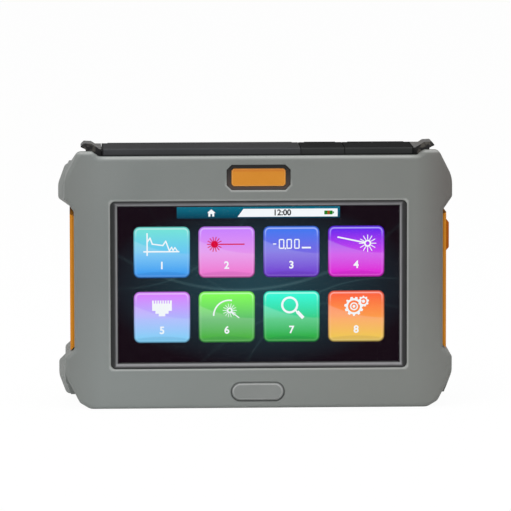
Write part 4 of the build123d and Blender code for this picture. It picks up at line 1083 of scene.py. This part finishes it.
# %% Threads on the optical ports
def thread_tree():
    tree, given, result = new_tree("cut_thread", {
        "Turns": "Float", "Pitch": "Float", "Barrel radius": "Float", "Crest": "Float",
        "Foot": "Vector", "Finish": "Material",
    })
    height = sums(tree, "MULTIPLY", given["Turns"], given["Pitch"])
    spiral = wire(tree, "GeometryNodeCurveSpiral", Resolution=40, Rotations=given["Turns"],
                  Start_Radius=given["Barrel radius"], End_Radius=given["Barrel radius"],
                  Height=height)
    placed = wire(tree, "GeometryNodeTransform", Geometry=spiral.outputs[0],
                  Translation=given["Foot"])
    section = wire(tree, "GeometryNodeCurvePrimitiveCircle", Resolution=4, Radius=given["Crest"])
    ridge = wire(tree, "GeometryNodeCurveToMesh", Curve=placed.outputs[0],
                 Profile_Curve=section.outputs[0], Fill_Caps=True)
    return close_tree(tree, given, result, ridge)


barrels = {
    "otdr_port": (-60.0, 4.0), "power_meter_port": (-26.0, 5.2), "fault_locator_port": (6.0, 3.4),
}
barrel_depth, barrel_foot = 28.0, 126.3
thread = thread_tree()
for port, (barrel_x, barrel_radius) in barrels.items():
    grown(port + "_thread", no_seed, thread, {
        "Turns": 6.0, "Pitch": 0.75 * mm, "Barrel radius": barrel_radius * mm, "Crest": 0.24 * mm,
        "Foot": (barrel_x * mm, place(barrel_depth) * mm, barrel_foot * mm),
        "Finish": nickel.material,
    }, "case")

# %% [markdown]
# The main board has three free fields behind the screen: below the processor's shield, and at both
# sides of it. The tree fills a field with tiny chip parts. It starts from a grid, drops some of the
# points by chance and turns each part by a quarter or not. A number stored on the faces of the
# seed says which are tinned ends, and the finish reads it.

# %% Small parts on the main board
def parts_tree():
    tree, given, result = new_tree("scatter_small_parts", {
        "Across": "Int", "Up": "Int", "Pitch": "Float", "Share left out": "Float",
        "Centre": "Vector", "Seed": "Int", "Finish": "Material",
    })
    points = grid_points(tree, given, "Pitch", "Pitch")
    dropped = wire(tree, "FunctionNodeRandomValue", {"data_type": "BOOLEAN"},
                   Probability=given["Share left out"], Seed=given["Seed"])
    kept = wire(tree, "GeometryNodeDeleteGeometry", {"domain": "POINT"}, Geometry=points,
                Selection=dropped.outputs[3])
    quarter = wire(tree, "FunctionNodeRandomValue", {"data_type": "INT"}, in_4=0, in_5=1,
                   Seed=sums(tree, "ADD", given["Seed"], 5.0))
    turn = sums(tree, "MULTIPLY", quarter.outputs[2], pi / 2)
    turned = wire(tree, "ShaderNodeCombineXYZ", Y=turn).outputs[0]
    copies = wire(tree, "GeometryNodeInstanceOnPoints", Points=kept.outputs[0],
                  Instance=given["Geometry"], Rotation=turned)
    return close_tree(tree, given, result, copies)


def small_part():
    """A body with two tinned ends, whose faces carry a number that tells them apart."""
    blocks = ((0.0, 1.0, 0.9, 0.0), (-0.7, 0.4, 1.0, 1.0), (0.7, 0.4, 1.0, 1.0))
    sheet = bmesh.new()
    tinned = sheet.faces.layers.float.new("tinned")
    for centre, wide, tall, end in blocks:
        shift = Matrix.Translation((centre * mm, 0.0, 0.0))
        size = Matrix.Diagonal((wide * mm, 0.6 * mm, tall * mm, 1.0))
        made = bmesh.ops.create_cube(sheet, size=1.0, matrix=shift @ size)
        for face in {face for corner in made["verts"] for face in corner.link_faces}:
            face[tinned] = end
    mesh = bpy.data.meshes.new("small_part")
    sheet.to_mesh(mesh)
    sheet.free()
    return mesh


def parts_finish():
    finish = Finish("small_board_parts")
    spot, _ = finish.place()
    tinned = finish.node("ShaderNodeAttribute", {"attribute_name": "tinned"}, {}, 2)
    kinds = finish.step(finish.noise(spot, 190.0), 0.49, 0.51)
    body = finish.mix(kinds, srgb(34, 34, 36), srgb(150, 122, 88))
    body = finish.mix(tinned, body, srgb(190, 192, 196))
    return finish.set(Base_Color=body, Metallic=tinned, Roughness=0.5 - tinned * 0.2)


fields = {
    "lower": (-5.0, 41.0, 24, 7), "left": (-39.0, 82.0, 4, 15), "right": (29.0, 82.0, 4, 15),
}
parts_depth = 19.39
seed_part, parts, parts_look = small_part(), parts_tree(), parts_finish()
for field, (spot_x, spot_z, across, up) in fields.items():
    grown("board_parts_" + field, seed_part, parts, {
        "Across": across, "Up": up, "Pitch": 3.1 * mm, "Share left out": 0.35, "Seed": 11,
        "Centre": (spot_x * mm, place(parts_depth) * mm, spot_z * mm),
        "Finish": parts_look.material,
    }, "case")

# %% [markdown]
# Light is soft and even, as in a catalogue picture. The world gives most of it. Large lamps above,
# one of them to the left of the camera, add the soft rim along the upper edges, and a weaker one
# fills from the right. The floor is white. For the camera it shines a little, so that it stays
# white in the picture, and it still keeps a soft shadow under the tester.

# %% Floor and world
def studio_floor():
    finish = Finish("white_floor", Roughness=0.9, Specular_IOR_Level=0.1)
    spot, _ = finish.place()
    cloud = finish.noise(spot, 3.0)
    finish.set(Base_Color=finish.mix(cloud, (0.86, 0.86, 0.86, 1), (0.9, 0.9, 0.9, 1)))
    tree = finish.tree
    shine = wire(tree, "ShaderNodeEmission", Strength=1.0)
    rays = wire(tree, "ShaderNodeLightPath").outputs
    seen = sums(tree, "MULTIPLY", rays["Is Camera Ray"], 0.965)
    mirrored = sums(tree, "MAXIMUM", rays["Is Glossy Ray"], rays["Is Transmission Ray"])
    share = sums(tree, "MAXIMUM", seen, sums(tree, "MULTIPLY", mirrored, 0.72))
    join = wire(tree, "ShaderNodeMixShader", in_0=share, in_1=finish.shader.outputs[0],
                in_2=shine.outputs[0])
    tree.links.new(join.outputs[0], tree.nodes["Material Output"].inputs[0])
    sheet = bmesh.new()
    bmesh.ops.create_grid(sheet, x_segments=2, y_segments=2, size=6.0)
    floor = finished("studio_floor", sheet, finish, None)


studio_floor()
world = bpy.data.worlds.new("studio_world")
bpy.context.scene.world = world
world.use_nodes = True
sky = world.node_tree
ambient = sky.nodes["Background"]
ambient.inputs["Color"].default_value = (1, 1, 1, 1)
ambient.inputs["Strength"].default_value = 0.66
shown = wire(sky, "ShaderNodeBackground", Color=(1, 1, 1, 1), Strength=1.0)
paths = wire(sky, "ShaderNodeLightPath").outputs
seen = sums(sky, "MAXIMUM", paths["Is Camera Ray"], paths["Is Glossy Ray"])
seen = sums(sky, "MAXIMUM", seen, paths["Is Transmission Ray"])
choose = wire(sky, "ShaderNodeMixShader", in_0=seen, in_1=ambient.outputs[0],
              in_2=shown.outputs[0])
sky.links.new(choose.outputs[0], sky.nodes["World Output"].inputs[0])

# %% Lamps
def lamp(name, spot, aim, size, power):
    """A square area lamp that points at a spot."""
    light = bpy.data.lights.new(name, "AREA")
    light.size = size
    light.energy = power
    holder = linked(name, light)
    holder.location = spot
    holder.rotation_euler = (Vector(spot) - Vector(aim)).to_track_quat("Z", "Y").to_euler()


lamp("upper_left_lamp", (-0.9, -1.1, 1.5), (0, 0, 0.07), 0.9, 11.0)
lamp("top_lamp", (0.0, -0.25, 1.5), (0, 0, 0.1), 0.8, 9.0)
lamp("right_fill_lamp", (1.4, -0.9, 0.6), (0, 0, 0.07), 0.9, 2.0)
print("lamps:", len(bpy.data.lights))

# %% [markdown]
# The camera stands far off with a long lens. It looks down by about six and a half degrees, and
# from two degrees to the left of straight on, which shows in the left side of the rear corners.

# %% Camera
camera_turn, camera_lift, camera_far = radians(2.1), radians(6.5), 2.7
camera_roll = radians(-0.12)
picture_pixels, pixel_size = 511, 0.547
picture_span = picture_pixels * pixel_size * mm
aim_spot = Vector((-1.8 * mm, place(0) * mm, 84.4 * mm))
toward = Vector((
    -sin(camera_turn) * cos(camera_lift), -cos(camera_turn) * cos(camera_lift), sin(camera_lift),
))
lens = bpy.data.cameras.new("camera")
lens.sensor_width = 36.0
lens.lens = lens.sensor_width * camera_far / picture_span
lens.clip_end = 50.0
camera = linked("camera", lens)
camera.location = aim_spot + toward * camera_far
level = toward.to_track_quat("Z", "Y")
camera.rotation_euler = (level @ Quaternion((0, 0, 1), camera_roll)).to_euler()
bpy.context.scene.camera = camera
bpy.context.scene.view_settings.view_transform = "Standard"
print("field of view", round(2 * atan(picture_span / 2 / camera_far) * 180 / pi, 2), "degrees")
